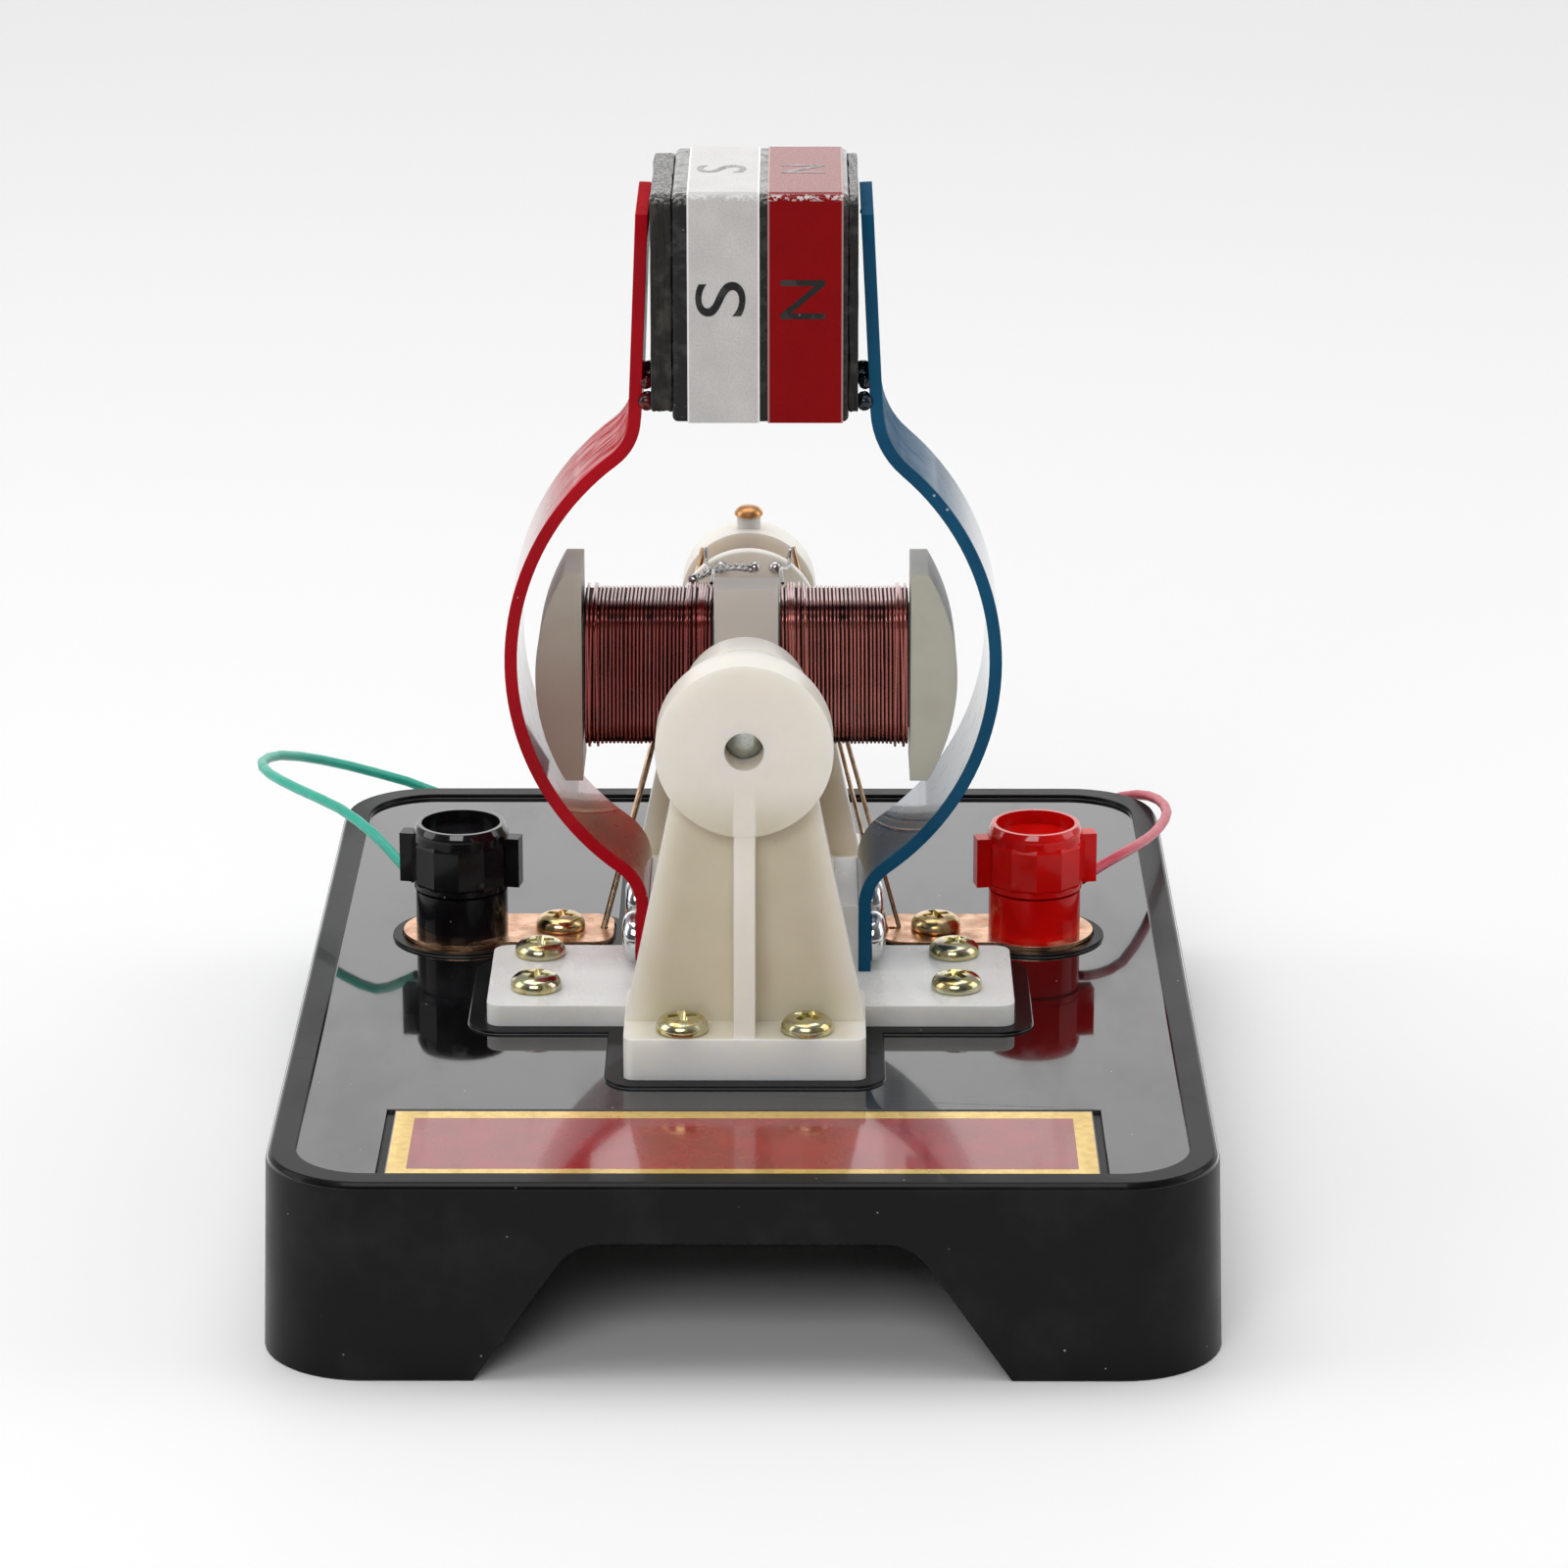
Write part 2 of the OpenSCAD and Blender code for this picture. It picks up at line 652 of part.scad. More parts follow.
module shaft() {
    end = stand_y + boss_l - shaft_recess;
    color("#9aa096") {
        shaft_cyl(shaft_r, -end + 0.4, end - 0.4);
        for (s = [-1, 1]) translate([0, s * (end - 0.4), axis_h]) rotate([-90 * s, 0, 0])
            cylinder(r1 = shaft_r, r2 = shaft_r - 0.6, h = 0.4);
    }
}

// Half of the bobbin that carries one winding, with its curved end flange
module bobbin_half() {
    translate([0, 0, axis_h]) {
        intersection() {
            along_y(-arm_half, arm_half) difference() {
                circle(r = rotor_r, $fn = 96);
                translate([-rotor_r, -rotor_r]) square([rotor_r + flange_x, 2 * rotor_r]);
            }
            translate([0, -former_d, -flange_hh]) cube([40, 2 * former_d, 2 * flange_hh]);
        }
        translate([centre_w / 2 - 0.1, -core_half_d + core_wall, -core_half_h + core_wall])
            cube([core_w + 0.3, 2 * (core_half_d - core_wall), 2 * (core_half_h - core_wall)]);
    }
}
module armature_former() {
    color("#e6e4dc") difference() {
        union() {
            bobbin_half();
            mirror([1, 0, 0]) bobbin_half();
            translate([-centre_w / 2, -arm_half, axis_h - coil_h / 2])
                cube([centre_w, former_d, coil_h]);
            translate([-centre_w / 2, -arm_half, axis_h - coil_h / 2 - 2.4])
                cube([centre_w, 5.6, coil_h + 4.8]);
            shaft_cyl(neck_r, arm_half - 0.1, disc_y);
        }
        shaft_cyl(shaft_r + fit, -40, 40);
        translate([-iron_half_l - fit, -iron_half_d - fit, axis_h - iron_half_h - fit])
            cube([2 * (iron_half_l + fit), 2 * (iron_half_d + fit), 2 * (iron_half_h + fit)]);
    }
}

module iron_core() {
    color("#6f7073") difference() {
        translate([-iron_half_l, -iron_half_d, axis_h - iron_half_h])
            cube([2 * iron_half_l, 2 * iron_half_d, 2 * iron_half_h]);
        shaft_cyl(shaft_r + fit, -10, 10);
    }
}

// One point of the winding's outer layer: u runs round a rounded rectangle from 0 to 1
function corner_path(hw, hh, r) = [for (q = [0:3], i = [0:5]) let (a = 90 * q + 90 * i / 5)
    [(q == 0 || q == 3 ? 1 : -1) * (hw - r) + r * cos(a),
        (q < 2 ? 1 : -1) * (hh - r) + r * sin(a)]];
coil_ring = corner_path(core_half_d + wire_d / 2, core_half_h + wire_d / 2,
    core_corner + wire_d / 2);
wind_pitch = (core_w - wire_d - 0.2) / turns;
wind_points = [for (k = [0:turns * 24]) let (p = coil_ring[k % 24])
    [centre_w / 2 + wire_d / 2 + 0.1 + k * wind_pitch / 24, p.x, p.y]];

// Tube of n sides swept along points; the rings stand square to the route
function unit(v) = v / norm(v);
function tangent(p, i) =
    unit(p[min(i + 1, len(p) - 1)] - p[max(i - 1, 0)]);
function side_of(t) = abs(t.z) > 0.9 ? unit(cross(t, [0, 1, 0])) : unit(cross(t, [0, 0, 1]));
module tube(points, r, n, sides = []) {
    m = len(points);
    rings = [for (i = [0:m - 1]) let (
            t = tangent(points, i),
            u = len(sides) ? unit(sides[i] - t * (sides[i] * t)) : side_of(t),
            v = cross(t, u))
        for (j = [0:n - 1]) points[i] + r * (cos(360 * j / n) * u + sin(360 * j / n) * v)];
    quads = [for (i = [0:m - 2], j = [0:n - 1]) let (k = (j + 1) % n)
        [i * n + j, i * n + k, (i + 1) * n + k, (i + 1) * n + j]];
    tris = [for (q = quads) each [[q[0], q[2], q[1]], [q[0], q[3], q[2]]]];
    polyhedron(rings, concat(tris, [[for (j = [0:n - 1]) j]],
        [[for (j = [n - 1:-1:0]) (m - 1) * n + j]]));
}

module winding() {
    translate([0, 0, axis_h]) {
        difference() {
            translate([centre_w / 2, 0, 0]) rotate([90, 0, 90])
                linear_extrude(height = core_w)
                rounded_plate(2 * core_half_d + 0.1, 2 * core_half_h + 0.1, core_corner);
            translate([0, -core_half_d + core_wall, -core_half_h + core_wall])
                cube([rotor_r, 2 * (core_half_d - core_wall), 2 * (core_half_h - core_wall)]);
        }
        tube(wind_points, wire_d / 2, 6, [for (p = wind_points) [1, 0, 0]]);
    }
}

module left_winding() {
    color("#5a1f17") mirror([1, 0, 0]) winding();
}

module right_winding() {
    color("#5a1f17") winding();
}

module front_hub() {
    color("#efece0") difference() {
        union() {
            shaft_cyl(hub_r, -hub_front, -hub_back);
            shaft_cyl(neck_r, -hub_back - 0.1, -arm_half);
        }
        shaft_cyl(shaft_r + fit, -40, 0);
        for (y = [-hub_back - 5, -hub_back - 9]) difference() {
            shaft_cyl(hub_r + 1, y - 0.6, y);
            shaft_cyl(hub_r - 0.5, y - 1, y + 1);
        }
    }
}

module commutator_hub() {
    color("#f1efe6") difference() {
        union() {
            shaft_cyl(disc_r, disc_y, disc_y + disc_t);
            shaft_cyl(segment_in, disc_y + disc_t - 0.1, hub_front);
        }
        shaft_cyl(shaft_r + fit, 0, 40);
    }
}

// Half ring of copper on the commutator hub; the slots lie left and right at the start angle
module segment(start) {
    gap = 8;
    translate([0, hub_front - 0.3, axis_h]) rotate([90, 0, 0]) rotate([0, 0, start + gap])
        rotate_extrude(angle = 180 - 2 * gap) translate([segment_in, 0])
            square([segment_t, hub_front - disc_y - disc_t - 0.5]);
}

module upper_segment() {
    color("#c8773c") segment(0);
}

module lower_segment() {
    color("#c8773c") segment(180);
}

// Ends of the windings, led to the disc and soldered in two drops
module coil_tails() {
    drop = [3.6, disc_y - 1, 7.4];
    color("#b9b3ad") for (s = [-1, 1]) translate([0, 0, axis_h]) {
        tube([[s * (centre_w / 2 - 0.8), arm_half - 3, coil_h / 2 + 0.45],
            [s * (centre_w / 2 - 1), arm_half + 2, coil_h / 2 + 0.2],
            [s * (drop.x - 0.4), (arm_half + drop.y) / 2, drop.z + 1.2],
            [s * drop.x, drop.y - 0.5, drop.z]], 0.35, 6);
        intersection() {
            translate([s * drop.x, drop.y, drop.z]) sphere(r = 1.1, $fn = 24);
            translate([-10, 0, -10]) cube([20, disc_y, 30]);
        }
    }
}

// Contacts and brushes

module contact_plate() {
    translate([0, 0, deck_z]) linear_extrude(height = contact_t) difference() {
        union() {
            translate([post_x, contact_y]) circle(r = pad_r);
            rounded_box2d(contact_in, post_x, contact_y - contact_w / 2,
                contact_y + contact_w / 2, 3);
        }
        translate([post_x, contact_y]) circle(r = stud_r + fit);
        translate([contact_screw_x, contact_y]) circle(r = shank_r + loose);
        translate([brush_foot_x, contact_y]) circle(r = brush_r + fit);
    }
}

module left_contact_plate() {
    color("#d08a58") mirror([1, 0, 0]) contact_plate();
}

module right_contact_plate() {
    color("#d08a58") contact_plate();
}

module contact_screws() {
    color("#c08a4a") at_contact_screws() translate([0, 0, contact_top]) screw(contact_t + screw_grip);
}

// Springy wire that leans from the contact plate to the side of the commutator
module brush() {
    foot = [brush_foot_x, contact_y, contact_top];
    // Distance of the wire's middle from the shaft where it passes the commutator
    reach = segment_r + brush_r + 0.35;
    rise = brush_top_z - foot.z;
    low = axis_h - foot.z;
    // Lean that keeps that distance, seen along the shaft
    far = norm([foot.x, low]);
    lean = atan2(foot.x, low) - asin(reach / far);
    top = [foot.x - rise * tan(lean), brush_y + 1.4, brush_top_z];
    tube([foot - [0, 0, contact_t], foot + [0, 0, 0.6], foot + (top - foot) * 0.05, top],
        brush_r, 8, [for (i = [0:3]) [0, 1, 0]]);
}

module left_brush() {
    color("#b98a63") mirror([1, 0, 0]) brush();
}

module right_brush() {
    color("#b98a63") brush();
}

// Terminals

// Lower body with a raised rim; the slot in the rim lets the bare strands out
module post(s) {
    difference() {
        translate([0, 0, contact_top])
            cylinder(r = post_r, h = cap_bottom - 0.35 - contact_top);
        translate([0, 0, deck_z]) cylinder(r = stud_r + fit, h = through);
        translate([0, 0, post_top]) cylinder(r = post_r - 1.5, h = 9);
        mirror([s < 0 ? 1 : 0, 0, 0]) rotate([0, 0, 23]) translate([3, -1.3, post_top])
            cube([6, 2.6, 9]);
    }
}

module black_post() {
    color("#0d0d0f") translate([-post_x, contact_y, 0]) post(-1);
}

module red_post() {
    color("#c9151b") translate([post_x, contact_y, 0]) post(1);
}

module stud() {
    translate([0, 0, stud_low]) cylinder(r = stud_r, h = insert_top - stud_low - 0.4);
}

module left_stud() {
    color("#c9a45a") translate([-post_x, contact_y, 0]) stud();
}

module right_stud() {
    color("#c9a45a") translate([post_x, contact_y, 0]) stud();
}

// Washer and nut that draw each stud down, under the deck
module stud_nuts() {
    color("#b9babd") at_posts() {
        translate([0, 0, deck_z - deck_t - washer_t]) difference() {
            cylinder(r = washer_r, h = washer_t);
            translate([0, 0, -1]) cylinder(r = stud_r + fit, h = washer_t + 2);
        }
        translate([0, 0, deck_z - deck_t - washer_t - stud_nut_h])
            hex_nut(stud_nut_w, stud_nut_h, stud_r + fit);
    }
}

// Threaded brass ring inside the screw cap
module cap_insert() {
    difference() {
        translate([0, 0, cap_bottom]) cylinder(r = insert_r, h = insert_top - cap_bottom);
        cylinder(r = stud_r + fit, h = 100);
    }
}

module black_cap_insert() {
    color("#c9a45a") translate([-post_x, contact_y, 0]) cap_insert();
}

module red_cap_insert() {
    color("#c9a45a") translate([post_x, contact_y, 0]) cap_insert();
}

// Screw cap with two finger wings and an open cup in its top
module cap(turn) {
    lip = 1.2;
    bore = insert_r + fit;
    rotate([0, 0, turn + 90]) rotate_extrude() polygon([[bore, cap_bottom],
        [cap_r, cap_bottom], [cap_r, cap_top - lip], [cap_r - 0.5, cap_top],
        [cup_r, cap_top], [cup_r, cup_floor], [bore, cup_floor]]);
    rotate([0, 0, turn]) for (s = [0, 180]) rotate([0, 0, s])
        translate([cap_r - 0.5, -1.3, cap_bottom + 0.4])
            cube([wing_r - cap_r + 0.5, 2.6, cap_top - cap_bottom - 2]);
}

module black_cap() {
    color("#0d0d0f") translate([-post_x, contact_y, 0]) cap(-wing_turn);
}

module red_cap() {
    color("#d4161c") translate([post_x, contact_y, 0]) cap(wing_turn);
}

// Leads

// Smooth route through the chosen points, with n steps to a stretch
function spline(p, n) = [for (i = [0:len(p) - 2], k = [0:n - 1]) let (
        t = k / n, a = p[max(i - 1, 0)], b = p[i], c = p[i + 1], d = p[min(i + 2, len(p) - 1)])
    0.5 * (2 * b + (c - a) * t + (2 * a - 5 * b + 4 * c - d) * t * t
        + (3 * b - a - 3 * c + d) * t * t * t), p[len(p) - 1]];

// Coil that lies flat, wound inwards on the table and outwards again on top of itself;
// it starts at its outermost point, heading along X, with s its side
function step_up(t) = let (x = max(min(t, 1), 0)) x * x * (3 - 2 * x);
function coil_points(x, y, s) = let (steps = coil_turns * 24)
    [for (k = [0:steps]) let (a = 360 * k / 24,
            half = 2 * k / steps - 1,
            r = coil_mid_r + coil_pitch * coil_turns / 4 * (2 * abs(half) - 1),
            z = route_floor + step_up(half * coil_turns * 4) * coil_pitch)
        [x + s * r * sin(a), y + coil_mid_r + coil_pitch * coil_turns / 4 - r * cos(a), z]];

function route_length(p) = len(p) < 2 ? 0
    : [for (i = [0:len(p) - 2]) norm(p[i + 1] - p[i])] * [for (i = [0:len(p) - 2]) 1];

function coil_self_gap(p, d, skip) = min([for (i = [0:2:len(p) - 1], j = [i + skip:1:len(p) - 1])
    norm(p[i] - p[j])]) - d;

module lead(route) {
    tube(spline(route, 2), lead_r, 8);
}

module green_lead() {
    color("#2fae97") lead(green_route);
}

module red_lead() {
    color("#c8465a") lead(red_route);
}

module lead_coil(route, s) {
    end = route[len(route) - 1];
    tube(coil_points(end.x, end.y, s), lead_r, 6);
}

module green_lead_coil() {
    color("#2fae97") lead_coil(green_route, 1);
}

module red_lead_coil() {
    color("#c8465a") lead_coil(red_route, -1);
}

// Bare strands clamped round the stud and laid out to the insulation
module lead_strands(route, s) {
    start = route[0];
    z = post_top + strand_t / 2;
    tube([[s * (post_x + stud_r), contact_y + 0.6, z], [s * (post_x + 5), contact_y + 2, z],
        start], strand_t / 2, 6);
}

module green_lead_ends() {
    color("#b8a68a") lead_strands(green_route, -1);
}

module red_lead_ends() {
    color("#b8a68a") lead_strands(red_route, 1);
}

echo(winding_gap = coil_self_gap(wind_points, wire_d, 12));
echo(green_coil_gap = coil_self_gap(coil_points(0, 0, 1), lead_d, 12));
echo(red_coil_gap = coil_self_gap(coil_points(0, 0, -1), lead_d, 12));
echo(lead_lengths = [for (r = [green_route, red_route])
    route_length(spline(r, 2)) + route_length(coil_points(0, 0, 1))]);

base_shell();
name_plate();
front_stand();
rear_stand();
oil_plug();
stand_screws();
left_pole_bracket();
right_pole_bracket();
bracket_screws();
red_pole_strip();
blue_pole_strip();
pole_bolts();
pole_nuts();
magnet_block();
left_magnet_plate();
right_magnet_plate();
south_label();
north_label();
glue_blobs();
shaft();
armature_former();
iron_core();
left_winding();
right_winding();
front_hub();
commutator_hub();
upper_segment();
lower_segment();
coil_tails();
left_contact_plate();
right_contact_plate();
contact_screws();
left_brush();
right_brush();
black_post();
red_post();
left_stud();
right_stud();
stud_nuts();
black_cap_insert();
red_cap_insert();
black_cap();
red_cap();
green_lead();
green_lead_coil();
green_lead_ends();
red_lead();
red_lead_coil();
red_lead_ends();
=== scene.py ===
"""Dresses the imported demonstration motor: meshes, finishes, studio and camera."""

import logging
import math
from collections.abc import Callable, Sequence
from dataclasses import dataclass, field
from enum import Enum
from typing import Any

import bmesh
import bpy
from mathutils import Matrix, Vector


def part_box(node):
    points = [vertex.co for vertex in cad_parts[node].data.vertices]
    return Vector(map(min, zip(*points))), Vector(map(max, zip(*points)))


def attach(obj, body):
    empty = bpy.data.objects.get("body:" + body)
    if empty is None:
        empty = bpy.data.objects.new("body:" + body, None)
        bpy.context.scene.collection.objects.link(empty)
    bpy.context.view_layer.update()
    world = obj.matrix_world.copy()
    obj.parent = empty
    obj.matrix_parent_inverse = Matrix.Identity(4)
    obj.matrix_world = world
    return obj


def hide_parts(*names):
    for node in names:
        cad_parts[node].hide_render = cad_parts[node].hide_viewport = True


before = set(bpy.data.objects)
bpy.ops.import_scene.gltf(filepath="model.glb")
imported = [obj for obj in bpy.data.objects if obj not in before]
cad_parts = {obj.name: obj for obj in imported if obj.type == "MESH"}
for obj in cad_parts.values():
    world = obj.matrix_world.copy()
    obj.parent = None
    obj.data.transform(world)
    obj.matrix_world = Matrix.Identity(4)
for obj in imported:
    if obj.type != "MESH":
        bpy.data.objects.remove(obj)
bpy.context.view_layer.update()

LOG = logging.getLogger("motor")
MM = 0.001
# places shared by several pieces, in millimetres
AXIS_H = 66.3
POST_X = 38.1
POST_Y = 14.5
Colour = tuple[float, float, float]
Point = tuple[float, float, float]
# radius and height of each step of a turned piece
Stations = Sequence[tuple[float, float]]
Test = Callable[[Vector, Vector], bool]


# ---------------------------------------------------------------------------
# Shader sheets


def term(operation: str, swapped: bool = False) -> Callable[..., "Value"]:
    """Makes an operator of Value that adds one Math node.

    Args:
        operation: the node's operation.
        swapped: puts the other term first.

    Returns:
        The method.
    """

    def apply(self: "Value", other: Any = 0.0) -> "Value":
        """Adds the node for this value and another term."""
        pair = (other, self) if swapped else (self, other)
        return self.sheet.node("ShaderNodeMath", {"operation": operation}, dict(enumerate(pair)))

    return apply


class Value:
    """A shader socket that takes part in sums; low and high pick the smaller and the larger."""

    __add__, __radd__ = term("ADD"), term("ADD", True)
    __sub__, __rsub__ = term("SUBTRACT"), term("SUBTRACT", True)
    __mul__, __rmul__ = term("MULTIPLY"), term("MULTIPLY", True)
    __abs__, low, high = term("ABSOLUTE"), term("MINIMUM"), term("MAXIMUM")
    __gt__ = term("GREATER_THAN")

    def __init__(self, sheet: "Sheet", socket: bpy.types.NodeSocket) -> None:
        """Wraps a socket of the given sheet."""
        self.sheet = sheet
        self.socket = socket

    def over(self, edge: Any, soft: float = 0.0) -> "Value":
        """1 where the value is above edge, 0 below, with a soft step of the given width.

        Args:
            edge: the value at the middle of the step.
            soft: half the width of the step; 0 is a hard step.

        Returns:
            A mask from 0 to 1.
        """
        if soft <= 0:
            return self > edge
        return self.sheet.node(
            "ShaderNodeMapRange",
            {"interpolation_type": "SMOOTHSTEP"},
            {"Value": self, "From Min": edge - soft, "From Max": edge + soft},
        )


class Sheet:
    """One material under construction, with its Principled shader."""

    def __init__(self, name: str) -> None:
        """Starts an empty node tree with a Principled shader wired to the output.

        Args:
            name: the material's name.
        """
        self.material = bpy.data.materials.new(name)
        self.material.use_nodes = True
        self.tree = self.material.node_tree
        self.tree.nodes.clear()
        out = self.tree.nodes.new("ShaderNodeOutputMaterial")
        self.shader = self.tree.nodes.new("ShaderNodeBsdfPrincipled")
        self.tree.links.new(self.shader.outputs[0], out.inputs[0])

    @staticmethod
    def _pick(sockets: Any, key: int | str) -> bpy.types.NodeSocket:
        """Finds a socket.

        Args:
            sockets: a node's inputs or outputs.
            key: its number, else its identifier, else its name.

        Returns:
            The socket.
        """
        if isinstance(key, int):
            return sockets[key]
        return next((s for s in sockets if s.identifier == key), None) or sockets[key]

    def _feed(self, socket: bpy.types.NodeSocket, value: Any) -> None:
        """Links a Value to a socket, or sets a plain number or colour on it.

        Args:
            socket: the input.
            value: a Value, a number, a vector or a colour.
        """
        if isinstance(value, Value):
            self.tree.links.new(value.socket, socket)
        elif socket.type == "RGBA":
            socket.default_value = (*value[:3], 1.0)
        else:
            socket.default_value = value

    def node(
        self,
        kind: str,
        settings: dict[str, Any] | None = None,
        inputs: dict[int | str, Any] | None = None,
        output: int | str = 0,
    ) -> Value:
        """Adds any node.

        Args:
            kind: the node's type name.
            settings: its properties; "stops" fills a colour ramp.
            inputs: numbers, colours or Values for its sockets.
            output: which output to hand back.

        Returns:
            The chosen output.
        """
        node = self.tree.nodes.new(kind)
        for key, value in (settings or {}).items():
            if key != "stops":
                setattr(node, key, value)
                continue
            ramp = node.color_ramp.elements
            while len(ramp) < len(value):
                ramp.new(0.5)
            for stop, (place, colour) in zip(ramp, value):
                stop.position, stop.color = place, (*colour, 1.0)
        for key, value in (inputs or {}).items():
            self._feed(self._pick(node.inputs, key), value)
        return Value(self, self._pick(node.outputs, output))

    def put(self, **values: Any) -> None:
        """Feeds the Principled shader; underscores in the names stand for spaces."""
        for key, value in values.items():
            self._feed(self.shader.inputs[key.replace("_", " ")], value)

    def where(self, stretch: Point = (1.0, 1.0, 1.0)) -> Value:
        """The place on the piece in millimetres.

        Args:
            stretch: what each axis is multiplied by.

        Returns:
            The place, as a vector.
        """
        place = self.node("ShaderNodeTexCoord", output="Object")
        size = tuple(s / MM for s in stretch)
        return self.node("ShaderNodeMapping", inputs={"Vector": place, "Scale": size})

    def axes(self) -> tuple[Value, Value, Value]:
        """The place on the piece in millimetres, as three numbers."""
        place = self.where()
        return tuple(self.node("ShaderNodeSeparateXYZ", None, {0: place}, k) for k in range(3))

    def noise(self, size: float, detail: float = 3.0, stretch: Point = (1.0, 1.0, 1.0)) -> Value:
        """Cloudy noise from 0 to 1.

        Args:
            size: size of its patches in millimetres.
            detail: how many finer layers it has.
            stretch: scale of each axis.

        Returns:
            The noise.
        """
        place = self.where(stretch)
        look = {"Vector": place, "Scale": 1.0 / size, "Detail": detail, "Roughness": 0.55}
        return self.node("ShaderNodeTexNoise", None, look)

    def spots(self, spacing: float, radius: float) -> Value:
        """Scattered round specks: 1 inside a speck and 0 outside.

        Args:
            spacing: distance between them in millimetres.
            radius: their radius as a share of the spacing.

        Returns:
            A mask from 0 to 1.
        """
        look = {"Vector": self.where(), "Scale": 1.0 / spacing}
        cells = self.node("ShaderNodeTexVoronoi", None, look)
        return 1.0 - cells.over(radius, radius * 0.3)

    def mix(self, first: Any, second: Any, share: Any) -> Value:
        """Blends two colours.

        Args:
            first: the colour at share 0.
            second: the colour at share 1.
            share: how much of the second shows.

        Returns:
            The blend.
        """
        return self.node(
            "ShaderNodeMix", {"data_type": "RGBA"},
            {"Factor_Float": share, "A_Color": first, "B_Color": second}, "Result_Color",
        )

    def relief(
        self, height: Value, depth: float, strength: float = 1.0, under: Value | None = None
    ) -> Value:
        """A Bump node.

        Args:
            height: the height from 0 to 1.
            depth: what 1 means in millimetres.
            strength: how much of it shows.
            under: a normal from another bump to build on.

        Returns:
            The bent normal.
        """
        look = {"Height": height, "Distance": depth * MM, "Strength": strength}
        if under is not None:
            look["Normal"] = under
        return self.node("ShaderNodeBump", None, look)

    def skin(self, wave: float, rise: float, grain: float, detail: float, depth: float) -> Value:
        """A moulding's surface: a long wave over a fine grain.

        Args:
            wave: length of the wave in millimetres.
            rise: its height in millimetres.
            grain: size of the grain in millimetres.
            detail: how many finer layers the grain has.
            depth: its height in millimetres.

        Returns:
            The bent normal.
        """
        fine = self.relief(self.noise(grain, detail), depth)
        return self.relief(self.noise(wave, 1.0), rise, 0.4, fine)

    def milky(self, weight: float, scale: float, radius: Point = (1.0, 0.85, 0.6)) -> None:
        """Lets light into the piece: its share, its depth in metres and its reach by colour."""
        self.put(Subsurface_Weight=weight, Subsurface_Radius=radius, Subsurface_Scale=scale)


# ---------------------------------------------------------------------------
# Finishes


class Slot(Enum):
    """The record's material slots."""

    BASE = "black_base_plastic"
    PLATE = "name_plate_print"
    IVORY = "ivory_nylon"
    WHITE = "white_nylon"
    PLUG = "plug_brass"
    ZINC = "yellow_zinc"
    RED_STRIP = "red_strip_paint"
    BLUE_STRIP = "blue_strip_paint"
    CHROME = "bolt_chrome"
    NUT = "nut_steel"
    MAGNET = "magnet_ferrite"
    SIDE_PLATE = "dark_side_plate"
    WHITE_LABEL = "white_label"
    RED_LABEL = "red_label"
    GLUE = "dark_glue"
    SHAFT = "shaft_steel"
    FORMER = "former_plastic"
    IRON = "core_iron"
    WIRE = "enamelled_wire"
    HUB = "hub_nylon"
    SEGMENT = "commutator_copper"
    TAILS = "tinned_tails"
    CONTACT = "contact_copper"
    CONTACT_SCREW = "copper_screws"
    BRUSH = "brush_bronze"
    BLACK_POST = "black_terminal_plastic"
    RED_POST = "red_terminal_plastic"
    BRASS = "stud_brass"
    GREEN_LEAD = "green_insulation"
    RED_LEAD = "red_insulation"
    STRANDS = "tinned_strands"


class Finish:
    """A kind of surface; each one fills a sheet in its own way."""

    def make(self, name: str) -> bpy.types.Material:
        """Builds the material.

        Args:
            name: its name.

        Returns:
            The material.
        """
        s = Sheet(name)
        self.paint(s)
        return s.material

    def paint(self, s: Sheet) -> None:
        """Fills the sheet with this finish.

        Args:
            s: the empty sheet, whose Principled shader is fed.
        """
        raise NotImplementedError


@dataclass(frozen=True)
class Plastic(Finish):
    """Moulded plastic: cloudy colour, handling smudges in the gloss and a fine skin."""

    colour: Colour
    cloud: Colour
    rough: float
    smudge: float
    ior: float
    depth: float
    skin: float
    patch: float

    def paint(self, s: Sheet) -> None:
        """Fills the sheet with this finish.

        Args:
            s: the empty sheet.
        """
        drift = s.noise(self.patch, 4.0).over(0.5, 0.22)
        colour = s.mix(self.colour, self.cloud, drift)
        rub = s.noise(self.patch * 0.7, 6.0, (1.0, 0.35, 1.0)).over(0.56, 0.14)
        normal = s.relief(s.noise(0.6, 5.0), self.skin)
        flow = s.relief(s.noise(16.0, 1.0, (1.0, 1.0, 0.4)), self.skin * 8.0, 0.5, normal)
        s.put(Base_Color=colour, Roughness=self.rough + self.smudge * rub)
        s.put(Normal=flow, IOR=self.ior)
        s.milky(self.depth, 0.0035)


